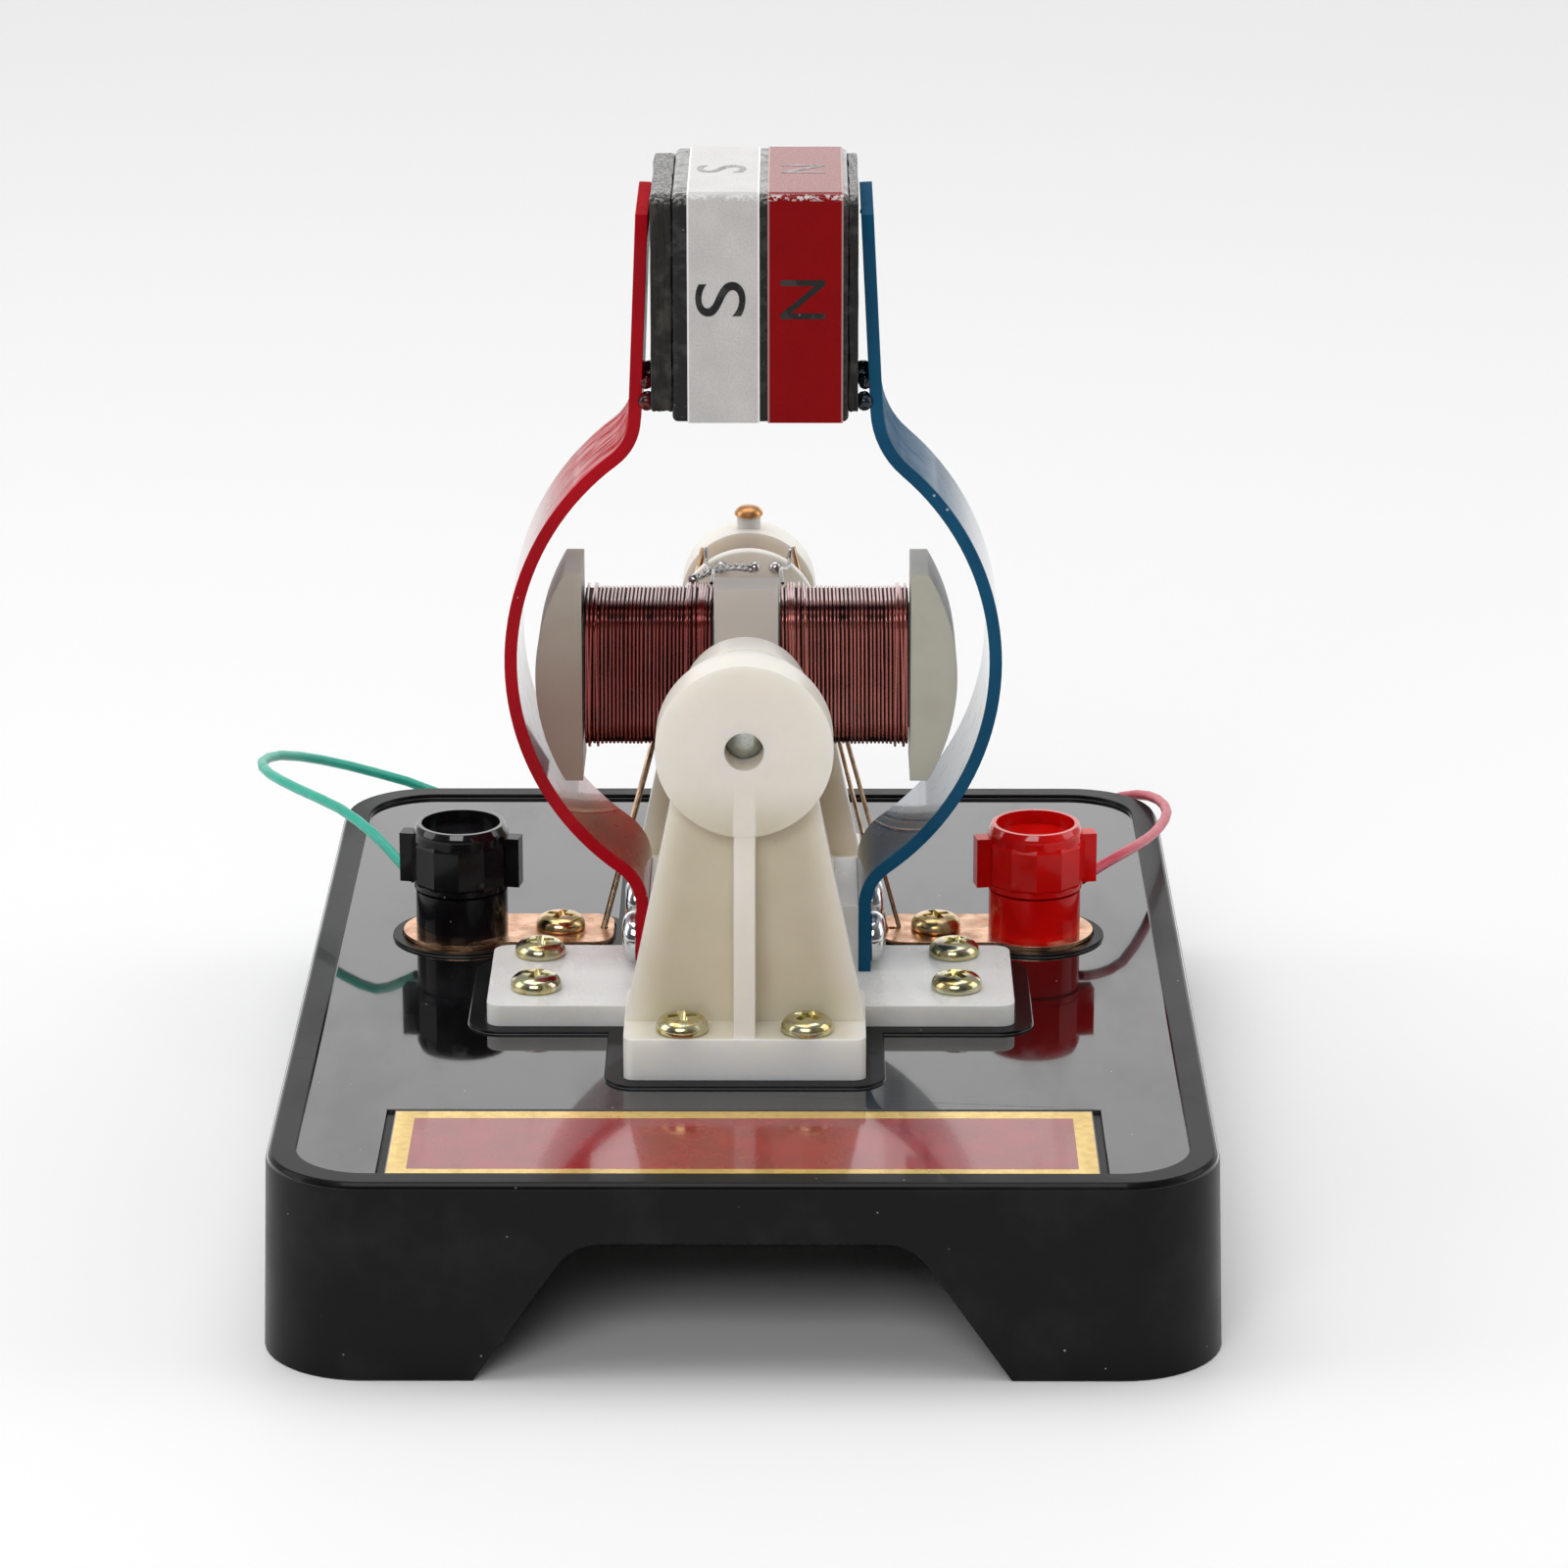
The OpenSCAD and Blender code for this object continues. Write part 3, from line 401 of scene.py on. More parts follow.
@dataclass(frozen=True)
class Nylon(Finish):
    """Milky stand moulding with painted light: paler at its edges, rib, boss and foot, darker
    within, and near white on the faces far along Y.

    rib is half the rib's width, foot the height of the foot's top, half the stand's half widths
    at the foot and at the shaft, and face how far along Y the boss's face lies.
    """

    # The first tone is the lit one and the second the shaded one: painted light and shade on one
    # nylon.
    pale: Colour
    deep: Colour
    rib: float
    foot: float
    half: tuple[float, float]
    face: float

    def paint(self, s: Sheet) -> None:
        """Fills the sheet with this finish.

        Args:
            s: the empty sheet.
        """
        x, y, z = s.axes()
        up = (z - self.foot) * (1.0 / (AXIS_H - self.foot))
        edge = abs(x) - (self.half[0] + up * (self.half[1] - self.half[0])) + 2.4
        # Painted light: the stand's outer edges and rib take the lit tone.
        painted_lit_edges = edge.over(0.0, 2.6).high((self.rib - abs(x)).over(0.0, 0.2))
        # Painted light also on the boss and the foot; this mask picks the lit tone.
        pale = painted_lit_edges.high(up.over(0.80, 0.10)).high(1.0 - (z - self.foot).over(-0.1, 0.5))
        cloud = s.noise(7.0, 4.0).over(0.5, 0.3)
        colour = s.mix(self.deep, self.pale, pale * 0.8 + cloud * 0.2)
        # Painted light: faces far along Y are painted near white.
        colour = s.mix(colour, (1.0, 0.98, 0.93), abs(y).over(self.face, 0.2) * 0.9)
        speck = s.spots(5.5, 0.02) * s.noise(9.0, 1.0).over(0.5, 0.06)
        colour = s.mix(colour, (0.05, 0.04, 0.03), speck * 0.8)
        s.put(Base_Color=colour, Roughness=0.27 + 0.12 * cloud, IOR=1.42)
        s.put(Normal=s.skin(14.0, 0.02, 0.7, 4.0, 0.004))
        s.milky(0.5, 0.005)


@dataclass(frozen=True)
class Bobbin(Finish):
    """Milky bobbin plastic whose end flanges carry painted shade with a red cast from the windings,
    more so at one end and low down.
    """

    centre: Colour
    # The second tone is the flanges' lit tone, the third their painted shade with a red cast from
    # the windings.
    lit_flange: Colour
    shaded_red_flange: Colour
    flange: float
    tall: float = 27.0

    def paint(self, s: Sheet) -> None:
        """Fills the sheet with this finish.

        Args:
            s: the empty sheet.
        """
        x, _, z = s.axes()
        low = 1.0 - ((z - AXIS_H) * (1.0 / self.tall) + 0.5)
        # Painted shade: the flanges darken and redden towards the left end and low down, and in
        # patches.
        painted_flange_shade = (1.0 - x.over(0.0, 4.0)) * (0.35 + low)
        end = s.mix(self.lit_flange, self.shaded_red_flange, painted_flange_shade.low(1.0) * 0.9)
        end = s.mix(end, self.shaded_red_flange, s.noise(6.0, 4.0).over(0.58, 0.2) * 0.18)
        colour = s.mix(self.centre, end, abs(x).over(self.flange, 0.2))
        s.put(Base_Color=colour, Roughness=0.30 + 0.10 * s.noise(4.0, 4.0), IOR=1.42)
        s.put(Normal=s.skin(12.0, 0.015, 0.6, 5.0, 0.005))
        s.milky(0.25, 0.003)


@dataclass(frozen=True)
class Polished(Finish):
    """Black moulding whose flat deck alone is polished, with dust and smudges on it."""

    colour: Colour
    above: float
    below: float
    rough: float = 0.05

    def paint(self, s: Sheet) -> None:
        """Fills the sheet with this finish.

        Args:
            s: the empty sheet.
        """
        z = s.axes()[2]
        deck = z.over(self.above, 0.15) * (1.0 - z.over(self.below, 0.03))
        smudge = s.noise(11.0, 6.0, (1.0, 0.4, 1.0)).over(0.57, 0.12)
        speck = s.spots(3.4, 0.035) * s.noise(13.0, 1.0).over(0.52, 0.06)
        colour = s.mix(self.colour, (0.02, 0.02, 0.022), smudge * 0.4)
        colour = s.mix(colour, (0.42, 0.42, 0.40), speck * 0.8)
        hair = s.noise(0.8, 4.0, (0.08, 1.0, 1.0)).over(0.70, 0.03)
        rough = self.rough + 0.10 * smudge + 0.10 * hair + 0.3 * (1.0 - deck)
        coat = 0.10 + deck * (0.74 - 0.12 * smudge)
        s.put(Base_Color=colour, Roughness=rough, IOR=1.2)
        s.put(Coat_Weight=coat, Coat_Roughness=0.035, Coat_IOR=1.5)
        s.put(Normal=s.skin(18.0, 0.010, 0.5, 4.0, 0.0015))


@dataclass(frozen=True)
class StripPaint(Finish):
    """Glossy dipped enamel with orange peel and nicks; its upper part is streaky and matt."""

    colour: Colour
    deep: Colour
    matt: float
    front: float = -8.6
    worn_from: float = 90.0
    end: float = 123.8

    def paint(self, s: Sheet) -> None:
        """Fills the sheet with this finish.

        Args:
            s: the empty sheet.
        """
        _, y, z = s.axes()
        streak = s.noise(1.0, 4.0, (0.2, 1.0, 0.2)).over(0.5, 0.06)
        end = z.over(self.end, 0.4)
        dull = self.matt + (1.0 - self.matt) * streak.high(end)
        worn = z.over(self.worn_from, 7.0) * dull
        shine = y.over(self.front, 0.3) * (1.0 - worn)
        cloud = s.noise(6.0, 5.0, (1.0, 0.5, 0.35)).over(0.5, 0.25)
        colour = s.mix(self.colour, self.deep, cloud * 0.7)
        nick = s.spots(3.1, 0.06) * s.noise(7.0, 2.0).over(0.5, 0.05)
        colour = s.mix(colour, (0.55, 0.56, 0.58), nick * 0.75)
        scuff = s.noise(1.1, 6.0, (1.0, 1.0, 0.25)).over(0.62, 0.08)
        peel = s.relief(s.noise(1.6, 2.0), 0.03, 0.5)
        fine = s.relief(s.noise(0.35, 3.0), 0.006, 0.6, peel)
        s.put(Base_Color=colour, Roughness=0.17 + 0.22 * scuff + 0.45 * worn, Normal=fine)
        s.put(Coat_Weight=0.06 * (1.0 - end) + 0.92 * shine, Coat_Roughness=0.05)
        s.put(Coat_IOR=1.58, IOR=1.08)


@dataclass(frozen=True)
class Metal(Finish):
    """Bare or plated metal: two or three tones, drawn-out brushing and dull patches."""

    tones: tuple[Colour, ...]
    rough: float
    dull: float
    brush: Point = (1.0, 1.0, 1.0)
    patch: float = 2.0

    def paint(self, s: Sheet) -> None:
        """Fills the sheet with this finish.

        Args:
            s: the empty sheet.
        """
        cloud = s.noise(self.patch, 4.0)
        gap = 0.36 / (len(self.tones) - 1)
        stops = [(0.32 + gap * k, tone) for k, tone in enumerate(self.tones)]
        colour = s.node("ShaderNodeValToRGB", {"stops": stops}, {"Fac": cloud})
        tarnish = s.noise(self.patch * 2.4, 5.0).over(0.58, 0.12)
        lines = s.noise(0.25, 3.0, self.brush)
        s.put(Base_Color=colour, Metallic=1.0 - 0.25 * tarnish)
        s.put(Roughness=self.rough + self.dull * tarnish, Normal=s.relief(lines, 0.006))


@dataclass(frozen=True)
class EnamelWire(Finish):
    """Enamelled copper with painted light: the left coil darker and redder, the right lighter and
    greyer, and painted shade in the gaps between turns.

    half holds the coil's half depth and half height, and corner is its corner's radius.
    """

    # The left tone is painted shade and the right tone painted light on the same wire.
    left: Colour
    right: Colour
    half: tuple[float, float]
    corner: float
    gap: float = 0.27

    def paint(self, s: Sheet) -> None:
        """Fills the sheet with this finish.

        Args:
            s: the empty sheet.
        """
        x, y, z = s.axes()
        out_y = abs(y) - (self.half[0] - self.corner)
        out_z = abs(z - AXIS_H) - (self.half[1] - self.corner)
        round_part = s.node("ShaderNodeCombineXYZ", None, {0: out_y.high(0.0), 1: out_z.high(0.0)})
        reach = s.node("ShaderNodeVectorMath", {"operation": "LENGTH"}, {0: round_part}, "Value")
        # Painted shade: below the outer face of the turns, in the gaps between them, the wire goes
        # near black.
        crest_outside_painted_shade = (reach + out_y.high(out_z).low(0.0)).over(self.corner - self.gap, 0.05)
        turn = s.noise(0.55, 2.0, (1.0, 0.02, 0.02)).over(0.55, 0.2)
        # Painted light: the right coil is lighter and greyer, the left darker and redder.
        colour = s.mix(self.left, self.right, x.over(0.0, 4.0) * 0.8 + turn * 0.2)
        dark = s.noise(5.0, 3.0).over(0.55, 0.15)
        colour = s.mix(colour, (0.07, 0.010, 0.008), dark * 0.3)
        # Painted shade: near black in the gaps between turns.
        colour = s.mix((0.006, 0.002, 0.002), colour, crest_outside_painted_shade)
        s.put(Base_Color=colour, Metallic=0.75, Roughness=0.20 + 0.10 * dark + 0.4 * (1.0 - crest_outside_painted_shade))
        s.put(Coat_Weight=crest_outside_painted_shade * 0.7, Coat_Roughness=0.06, Coat_IOR=1.6)
        s.put(Normal=s.relief(s.noise(0.9, 2.0), 0.003))


@dataclass(frozen=True)
class PrintedLabel(Finish):
    """Printed paper label under lacquer: mottled ink, scratches and worn specks.

    span holds the label's ends along X, paper is how white its border is, and top is the height
    of the face it is folded over.
    """

    ink: Colour
    mottle: Colour
    amount: float
    span: tuple[float, float]
    paper: float
    top: float = 130.4

    def paint(self, s: Sheet) -> None:
        """Fills the sheet with this finish.

        Args:
            s: the empty sheet.
        """
        x, _, z = s.axes()
        grain = s.noise(0.24, 5.0).over(0.5, 0.2)
        cloud = s.noise(5.0, 3.0).over(0.5, 0.2)
        colour = s.mix(self.ink, self.mottle, (0.6 * grain + 0.4 * cloud) * self.amount)
        worn = s.spots(2.1, 0.04) * s.noise(4.0, 2.0).over(0.52, 0.05)
        fold = (0.35 - abs(z - self.top)).over(0.0, 0.15) * s.noise(0.6, 4.0).over(0.53, 0.04)
        colour = s.mix(colour, (0.80, 0.79, 0.77), worn.high(fold) * 0.7)
        border = 1.0 - (x - self.span[0]).low(self.span[1] - x).over(0.22, 0.06)
        colour = s.mix(colour, (0.86, 0.85, 0.83), border * self.paper)
        scratch = s.noise(0.5, 3.0, (1.0, 1.0, 0.05)).over(0.68, 0.03)
        normal = s.relief(s.noise(0.5, 4.0), 0.008)
        s.put(Base_Color=colour, Roughness=0.3 + 0.2 * grain + 0.2 * scratch, Normal=normal)
        s.put(Coat_Weight=z.over(self.top + 0.1, 0.2) * 0.6, Coat_Roughness=0.16, IOR=1.18)


@dataclass(frozen=True)
class PlatePrint(Finish):
    """Name plate: dark red field, gold border and a dark outer edge, bare of lettering."""

    half: tuple[float, float]
    centre: tuple[float, float]
    red: Colour
    gold: Colour
    border: float = 2.5

    def paint(self, s: Sheet) -> None:
        """Fills the sheet with this finish.

        Args:
            s: the empty sheet.
        """
        x, y, _ = s.axes()
        inset_x = self.half[0] - abs(x - self.centre[0])
        inset_y = self.half[1] - abs(y - self.centre[1])
        edge = inset_x.low(inset_y)
        border = edge.over(0.15, 0.05) * (1.0 - edge.over(self.border, 0.05))
        shade = s.noise(6.0, 4.0).over(0.5, 0.2)
        field_tone = s.mix(self.red, (0.16, 0.006, 0.010), shade * 0.6)
        streak = s.noise(5.0, 2.0, (1.0, 0.12, 1.0)).over(0.58, 0.07)
        field_tone = s.mix(field_tone, (0.40, 0.05, 0.05), streak * 0.2)
        gold = s.mix(self.gold, (0.82, 0.54, 0.12), s.noise(1.2, 5.0).over(0.52, 0.15))
        rim = s.mix((0.012, 0.008, 0.008), field_tone, edge.over(0.12, 0.05))
        rough = 0.12 + 0.12 * streak + 0.1 * border
        s.put(Base_Color=s.mix(rim, gold, border), Metallic=0.75 * border, Roughness=rough)
        s.put(Normal=s.relief(border, 0.03, 0.5, s.relief(s.noise(0.8, 4.0), 0.006)))
        s.put(Coat_Weight=0.42, Coat_Roughness=0.05)


@dataclass(frozen=True)
class Ferrite(Finish):
    """Dark lacquered or raw block: pits, chips and scuffed, rougher patches."""

    colour: Colour
    scuff: Colour
    rough: float
    pit: float
    top: float = 129.6

    def paint(self, s: Sheet) -> None:
        """Fills the sheet with this finish.

        Args:
            s: the empty sheet.
        """
        rub = s.noise(2.2, 7.0).over(0.56, 0.1)
        high = s.axes()[2].over(self.top, 0.5)
        colour = s.mix(self.colour, self.scuff, rub * 0.8)
        fleck = s.spots(1.3, 0.09) * s.noise(3.0, 3.0).over(0.55, 0.05)
        chips = high * s.noise(0.5, 5.0).over(0.52, 0.05)
        colour = s.mix(colour, (0.35, 0.34, 0.32), (fleck * 0.5).high(chips * 0.6))
        coarse = s.relief(s.noise(1.4, 5.0), self.pit * 3.0, 0.6)
        s.put(Base_Color=colour, Roughness=self.rough + 0.25 * rub, IOR=1.3)
        s.put(Coat_Weight=high * 0.5, Coat_Roughness=0.2)
        s.put(Normal=s.relief(s.noise(0.3, 5.0), self.pit, 0.8, coarse))


@dataclass(frozen=True)
class Glue(Finish):
    """Dark glue, reddish in patches on the left and bluish on the right."""

    left: Colour
    right: Colour

    def paint(self, s: Sheet) -> None:
        """Fills the sheet with this finish.

        Args:
            s: the empty sheet.
        """
        tint = s.mix(self.left, self.right, s.axes()[0].over(1.0, 0.5))
        colour = s.mix((0.010, 0.009, 0.009), tint, s.noise(1.2, 4.0).over(0.46, 0.12))
        s.put(Base_Color=colour, Roughness=0.16, IOR=1.45, Normal=s.relief(s.noise(0.5, 4.0), 0.02))


@dataclass(frozen=True)
class Terminal(Finish):
    """Glossy terminal plastic: the cap's rim shines most, and dust lies on it."""

    colour: Colour
    deep: Colour
    rim: float
    dust: float

    def paint(self, s: Sheet) -> None:
        """Fills the sheet with this finish.

        Args:
            s: the empty sheet.
        """
        high = s.axes()[2].over(self.rim, 0.5)
        rub = s.noise(4.0, 5.0).over(0.56, 0.12)
        colour = s.mix(self.colour, self.deep, s.noise(5.0, 4.0).over(0.5, 0.2))
        speck = s.spots(2.6, 0.05) * s.noise(11.0, 1.0).over(0.52, 0.06)
        colour = s.mix(colour, (0.30, 0.30, 0.29), speck * self.dust)
        s.put(Base_Color=colour, Roughness=0.12 + 0.1 * rub + 0.3 * speck, IOR=1.22)
        s.put(Coat_Weight=0.12 + 0.7 * high, Coat_Roughness=0.05)
        s.put(Normal=s.skin(9.0, 0.02, 0.5, 4.0, 0.003))


@dataclass(frozen=True)
class Insulation(Finish):
    """Soft PVC sleeve with a fine grain, grime and a waxy sheen."""

    colour: Colour
    pale: Colour

    def paint(self, s: Sheet) -> None:
        """Fills the sheet with this finish.

        Args:
            s: the empty sheet.
        """
        colour = s.mix(self.colour, self.pale, s.noise(4.0, 4.0).over(0.52, 0.2) * 0.5)
        grime = s.noise(2.0, 5.0).over(0.62, 0.08)
        colour = s.mix(colour, (0.05, 0.06, 0.055), grime * 0.18)
        s.put(Base_Color=colour, Roughness=0.36 + 0.15 * grime, IOR=1.5)
        s.milky(0.15, 0.0008, (0.8, 0.8, 0.8))
        s.put(Normal=s.relief(s.noise(0.3, 3.0), 0.008))


@dataclass(frozen=True)
class PaleFloor(Finish):
    """Plain pale studio floor."""

    tone: float

    def paint(self, s: Sheet) -> None:
        """Fills the sheet with this finish."""
        s.put(Base_Color=(self.tone, self.tone, self.tone), Roughness=0.6, Specular_IOR_Level=0.2)


FINISHES: dict[Slot, Finish] = {
    Slot.BASE: Polished((0.0035, 0.0035, 0.004), above=24.2, below=24.47),
    Slot.PLATE: PlatePrint(
        half=(42.8, 11.0), centre=(0.0, -62.3), red=(0.30, 0.006, 0.008), gold=(0.95, 0.66, 0.16)
    ),
    # Lit and shaded tones of the stand nylon, for its painted light and shade.
    Slot.IVORY: Nylon(
        (0.88, 0.84, 0.77), (0.63, 0.585, 0.44), rib=1.4, foot=30.0, half=(15.0, 9.3), face=41.2
    ),
    Slot.WHITE: Plastic(
        (0.80, 0.80, 0.78), (0.75, 0.75, 0.73), rough=0.26, smudge=0.12, ior=1.3, depth=0.35,
        skin=0.006, patch=8.0,
    ),
    Slot.PLUG: Metal(((0.45, 0.20, 0.07), (0.70, 0.38, 0.16)), rough=0.28, dull=0.2),
    Slot.ZINC: Metal(
        ((0.36, 0.27, 0.10), (0.66, 0.56, 0.28), (0.50, 0.52, 0.36), (0.68, 0.48, 0.40)),
        rough=0.16, dull=0.14, patch=1.5,
    ),
    Slot.RED_STRIP: StripPaint((0.46, 0.006, 0.014), (0.27, 0.004, 0.009), matt=0.62),
    Slot.BLUE_STRIP: StripPaint((0.010, 0.092, 0.185), (0.007, 0.055, 0.120), matt=0.90),
    Slot.CHROME: Metal(((0.62, 0.63, 0.66), (0.80, 0.81, 0.83)), rough=0.10, dull=0.12),
    Slot.NUT: Metal(((0.42, 0.42, 0.42), (0.60, 0.60, 0.59)), rough=0.25, dull=0.2),
    Slot.MAGNET: Ferrite((0.010, 0.010, 0.011), (0.045, 0.044, 0.042), rough=0.22, pit=0.02),
    Slot.SIDE_PLATE: Ferrite((0.016, 0.015, 0.014), (0.060, 0.055, 0.046), rough=0.52, pit=0.06),
    Slot.WHITE_LABEL: PrintedLabel(
        (0.64, 0.62, 0.60), (0.40, 0.39, 0.38), amount=0.6, span=(-7.2, 1.8), paper=1.0
    ),
    Slot.RED_LABEL: PrintedLabel(
        (0.27, 0.0008, 0.002), (0.17, 0.0005, 0.002), amount=0.6, span=(2.8, 12.2), paper=0.25
    ),
    Slot.GLUE: Glue((0.14, 0.006, 0.008), (0.008, 0.022, 0.035)),
    Slot.SHAFT: Metal(((0.34, 0.37, 0.34), (0.56, 0.58, 0.53)), rough=0.26, dull=0.25, patch=1.2),
    # The third tone is painted shade with a red cast from the windings.
    Slot.FORMER: Bobbin(
        (0.64, 0.58, 0.53), (0.55, 0.54, 0.46), (0.30, 0.19, 0.15), flange=20.6
    ),
    Slot.IRON: Metal(((0.16, 0.16, 0.17), (0.26, 0.26, 0.26)), rough=0.5, dull=0.2),
    # The left coil's tone is painted shade and the right coil's painted light.
    Slot.WIRE: EnamelWire((0.24, 0.016, 0.012), (0.46, 0.13, 0.11), half=(6.4, 9.5), corner=2.1),
    Slot.HUB: Plastic(
        (0.90, 0.86, 0.78), (0.84, 0.80, 0.72), rough=0.28, smudge=0.1, ior=1.45, depth=0.45,
        skin=0.006, patch=9.0,
    ),
    Slot.SEGMENT: Metal(
        ((0.50, 0.22, 0.10), (0.72, 0.38, 0.20)), rough=0.22, dull=0.25, brush=(0.08, 1.0, 1.0)
    ),
    Slot.TAILS: Metal(((0.34, 0.33, 0.33), (0.66, 0.65, 0.64)), rough=0.25, dull=0.2, patch=0.8),
    Slot.CONTACT: Metal(
        ((0.52, 0.26, 0.14), (0.74, 0.42, 0.25), (0.80, 0.52, 0.34)),
        rough=0.22, dull=0.22, brush=(1.0, 0.08, 1.0),
    ),
    Slot.CONTACT_SCREW: Metal(
        ((0.34, 0.23, 0.09), (0.62, 0.48, 0.22), (0.60, 0.38, 0.26)),
        rough=0.18, dull=0.14, patch=1.5,
    ),
    Slot.BRUSH: Metal(((0.36, 0.24, 0.14), (0.58, 0.42, 0.28)), rough=0.25, dull=0.2, patch=1.0),
    Slot.BLACK_POST: Terminal((0.004, 0.003, 0.004), (0.008, 0.008, 0.009), rim=39.2, dust=0.4),
    Slot.RED_POST: Terminal((0.70, 0.004, 0.003), (0.55, 0.004, 0.003), rim=39.2, dust=0.0),
    Slot.BRASS: Metal(((0.42, 0.28, 0.09), (0.68, 0.50, 0.20)), rough=0.25, dull=0.2),
    Slot.GREEN_LEAD: Insulation((0.020, 0.40, 0.285), (0.06, 0.52, 0.40)),
    Slot.RED_LEAD: Insulation((0.50, 0.030, 0.065), (0.62, 0.10, 0.14)),
    Slot.STRANDS: Metal(((0.44, 0.28, 0.16), (0.66, 0.60, 0.52)), rough=0.28, dull=0.2, patch=0.6),
}


class Paints:
    """Makes each finish once and hands it out."""

    def __init__(self) -> None:
        """Starts with no material made."""
        self._made: dict[Slot, bpy.types.Material] = {}

    def get(self, slot: Slot) -> bpy.types.Material:
        """Hands out a slot's material, which is made at the first call.

        Args:
            slot: the slot.

        Returns:
            Its material.
        """
        if slot not in self._made:
            self._made[slot] = FINISHES[slot].make(f"{slot.value}_finish")
        return self._made[slot]


PAINTS = Paints()


# ---------------------------------------------------------------------------
# Modelling tools


class Axis(Enum):
    """Direction of a turned piece, with the Euler angles that lay local Z along it."""

    Y = (-90.0, 0.0, 0.0)
    Z = (0.0, 0.0, 0.0)


class Bench:
    """Hand tools for one mesh at a time; sizes are in millimetres."""

    @staticmethod
    def clear() -> None:
        """Leaves edit mode and deselects everything."""
        if bpy.context.mode != "OBJECT":
            bpy.ops.object.mode_set(mode="OBJECT")
        bpy.ops.object.select_all(action="DESELECT")

    @classmethod
    def take(cls, piece: bpy.types.Object) -> None:
        """Makes a piece the only one selected and the active one.

        Args:
            piece: the piece.
        """
        cls.clear()
        piece.select_set(True)
        bpy.context.view_layer.objects.active = piece

    @classmethod
    def settle(cls, name: str) -> bpy.types.Object:
        """Names the newest primitive and settles its place into its mesh.

        Args:
            name: its name.

        Returns:
            The primitive.
        """
        piece = bpy.context.object
        piece.name = name
        piece.data.name = name
        bpy.ops.object.transform_apply(location=True, rotation=True, scale=True)
        return piece

    @classmethod
    def block(cls, name: str, low: Point, high: Point) -> bpy.types.Object:
        """A box between two corners.

        Args:
            name: the piece's name.
            low: its lowest corner.
            high: its highest corner.

        Returns:
            The new piece, at the origin with its place in its mesh.
        """
        cls.clear()
        middle = [(a + b) / 2 * MM for a, b in zip(low, high)]
        bpy.ops.mesh.primitive_cube_add(size=1.0, location=middle)
        bpy.context.object.scale = [(b - a) * MM for a, b in zip(low, high)]
        return cls.settle(name)

    @classmethod
    def turned(
        cls,
        name: str,
        stations: Stations,
        centre: Point = (0.0, 0.0, 0.0),
        axis: Axis = Axis.Z,
        sides: int = 64,
    ) -> bpy.types.Object:
        """A turned piece, drawn out from a disc station by station.

        Args:
            name: the piece's name.
            stations: radius and height of each step along the axis.
            centre: where height 0 of the axis lies.
            axis: the axis's direction.
            sides: faces round the piece.

        Returns:
            The new piece, closed, with its place in its mesh.
        """
        cls.clear()
        radius, height = stations[0]
        bpy.ops.mesh.primitive_circle_add(
            vertices=sides, radius=radius * MM, fill_type="NGON", location=(0, 0, height * MM)
        )
        piece = cls.settle(name)
        bpy.ops.object.mode_set(mode="EDIT")
        bpy.ops.mesh.select_all(action="SELECT")
        for radius_to, height_to in stations[1:]:
            bpy.ops.mesh.extrude_region_move(
                TRANSFORM_OT_translate={"value": (0, 0, (height_to - height) * MM)}
            )
            bpy.ops.transform.resize(
                value=[radius_to / radius] * 3, center_override=(0, 0, height_to * MM)
            )
            radius, height = radius_to, height_to
        bpy.ops.mesh.select_all(action="SELECT")
        bpy.ops.mesh.normals_make_consistent(inside=False)
        cls.leave()
        piece.rotation_euler = [math.radians(a) for a in axis.value]
        piece.location = [c * MM for c in centre]
        bpy.ops.object.transform_apply(location=True, rotation=True, scale=True)
        return piece

    @classmethod
    def choose(cls, piece: bpy.types.Object, kind: str, test: Test) -> int:
        """Enters edit mode and selects faces or edges by their place.

        Args:
            piece: the piece to work on.
            kind: "FACE" or "EDGE".
            test: gets the centre in millimetres and the normal or direction.

        Returns:
            How many are selected.
        """
        if bpy.context.mode != "EDIT_MESH":
            cls.take(piece)
            bpy.ops.object.mode_set(mode="EDIT")
        bpy.ops.mesh.select_mode(type=kind)
        bpy.ops.mesh.select_all(action="DESELECT")
        bm = bmesh.from_edit_mesh(piece.data)
        count = 0
        for item in bm.faces if kind == "FACE" else bm.edges:
            if kind == "FACE":
                centre, way = item.calc_center_median(), item.normal
            else:
                a, b = (v.co for v in item.verts)
                centre, way = (a + b) / 2, (b - a).normalized()
            if test(centre / MM, way):
                item.select_set(True)
                count += 1
        bm.select_flush_mode()
        bmesh.update_edit_mesh(piece.data)
        return count

    @staticmethod
    def leave() -> None:
        """Goes back to object mode."""
        bpy.ops.object.mode_set(mode="OBJECT")

    @classmethod
    def round_off(cls, piece: bpy.types.Object, test: Test, width: float, steps: int = 3) -> None:
        """Bevels the edges that pass the test, in edit mode.

        Args:
            piece: the piece to work on.
            test: as in choose.
            width: width of the rounding.
            steps: its segments.
        """
        if cls.choose(piece, "EDGE", test):
            bpy.ops.mesh.bevel(
                offset=width * MM, segments=steps, affect="EDGES", clamp_overlap=True
            )
        cls.leave()

    @classmethod
    def modify(cls, piece: bpy.types.Object, kind: str, **settings: Any) -> None:
        """Adds a modifier and applies it.

        Args:
            piece: the piece to work on.
            kind: the modifier's type.
            settings: its properties.
        """
        cls.take(piece)
        modifier = piece.modifiers.new(kind.lower(), kind)
        for key, value in settings.items():
            setattr(modifier, key, value)
        bpy.ops.object.modifier_apply(modifier=modifier.name)

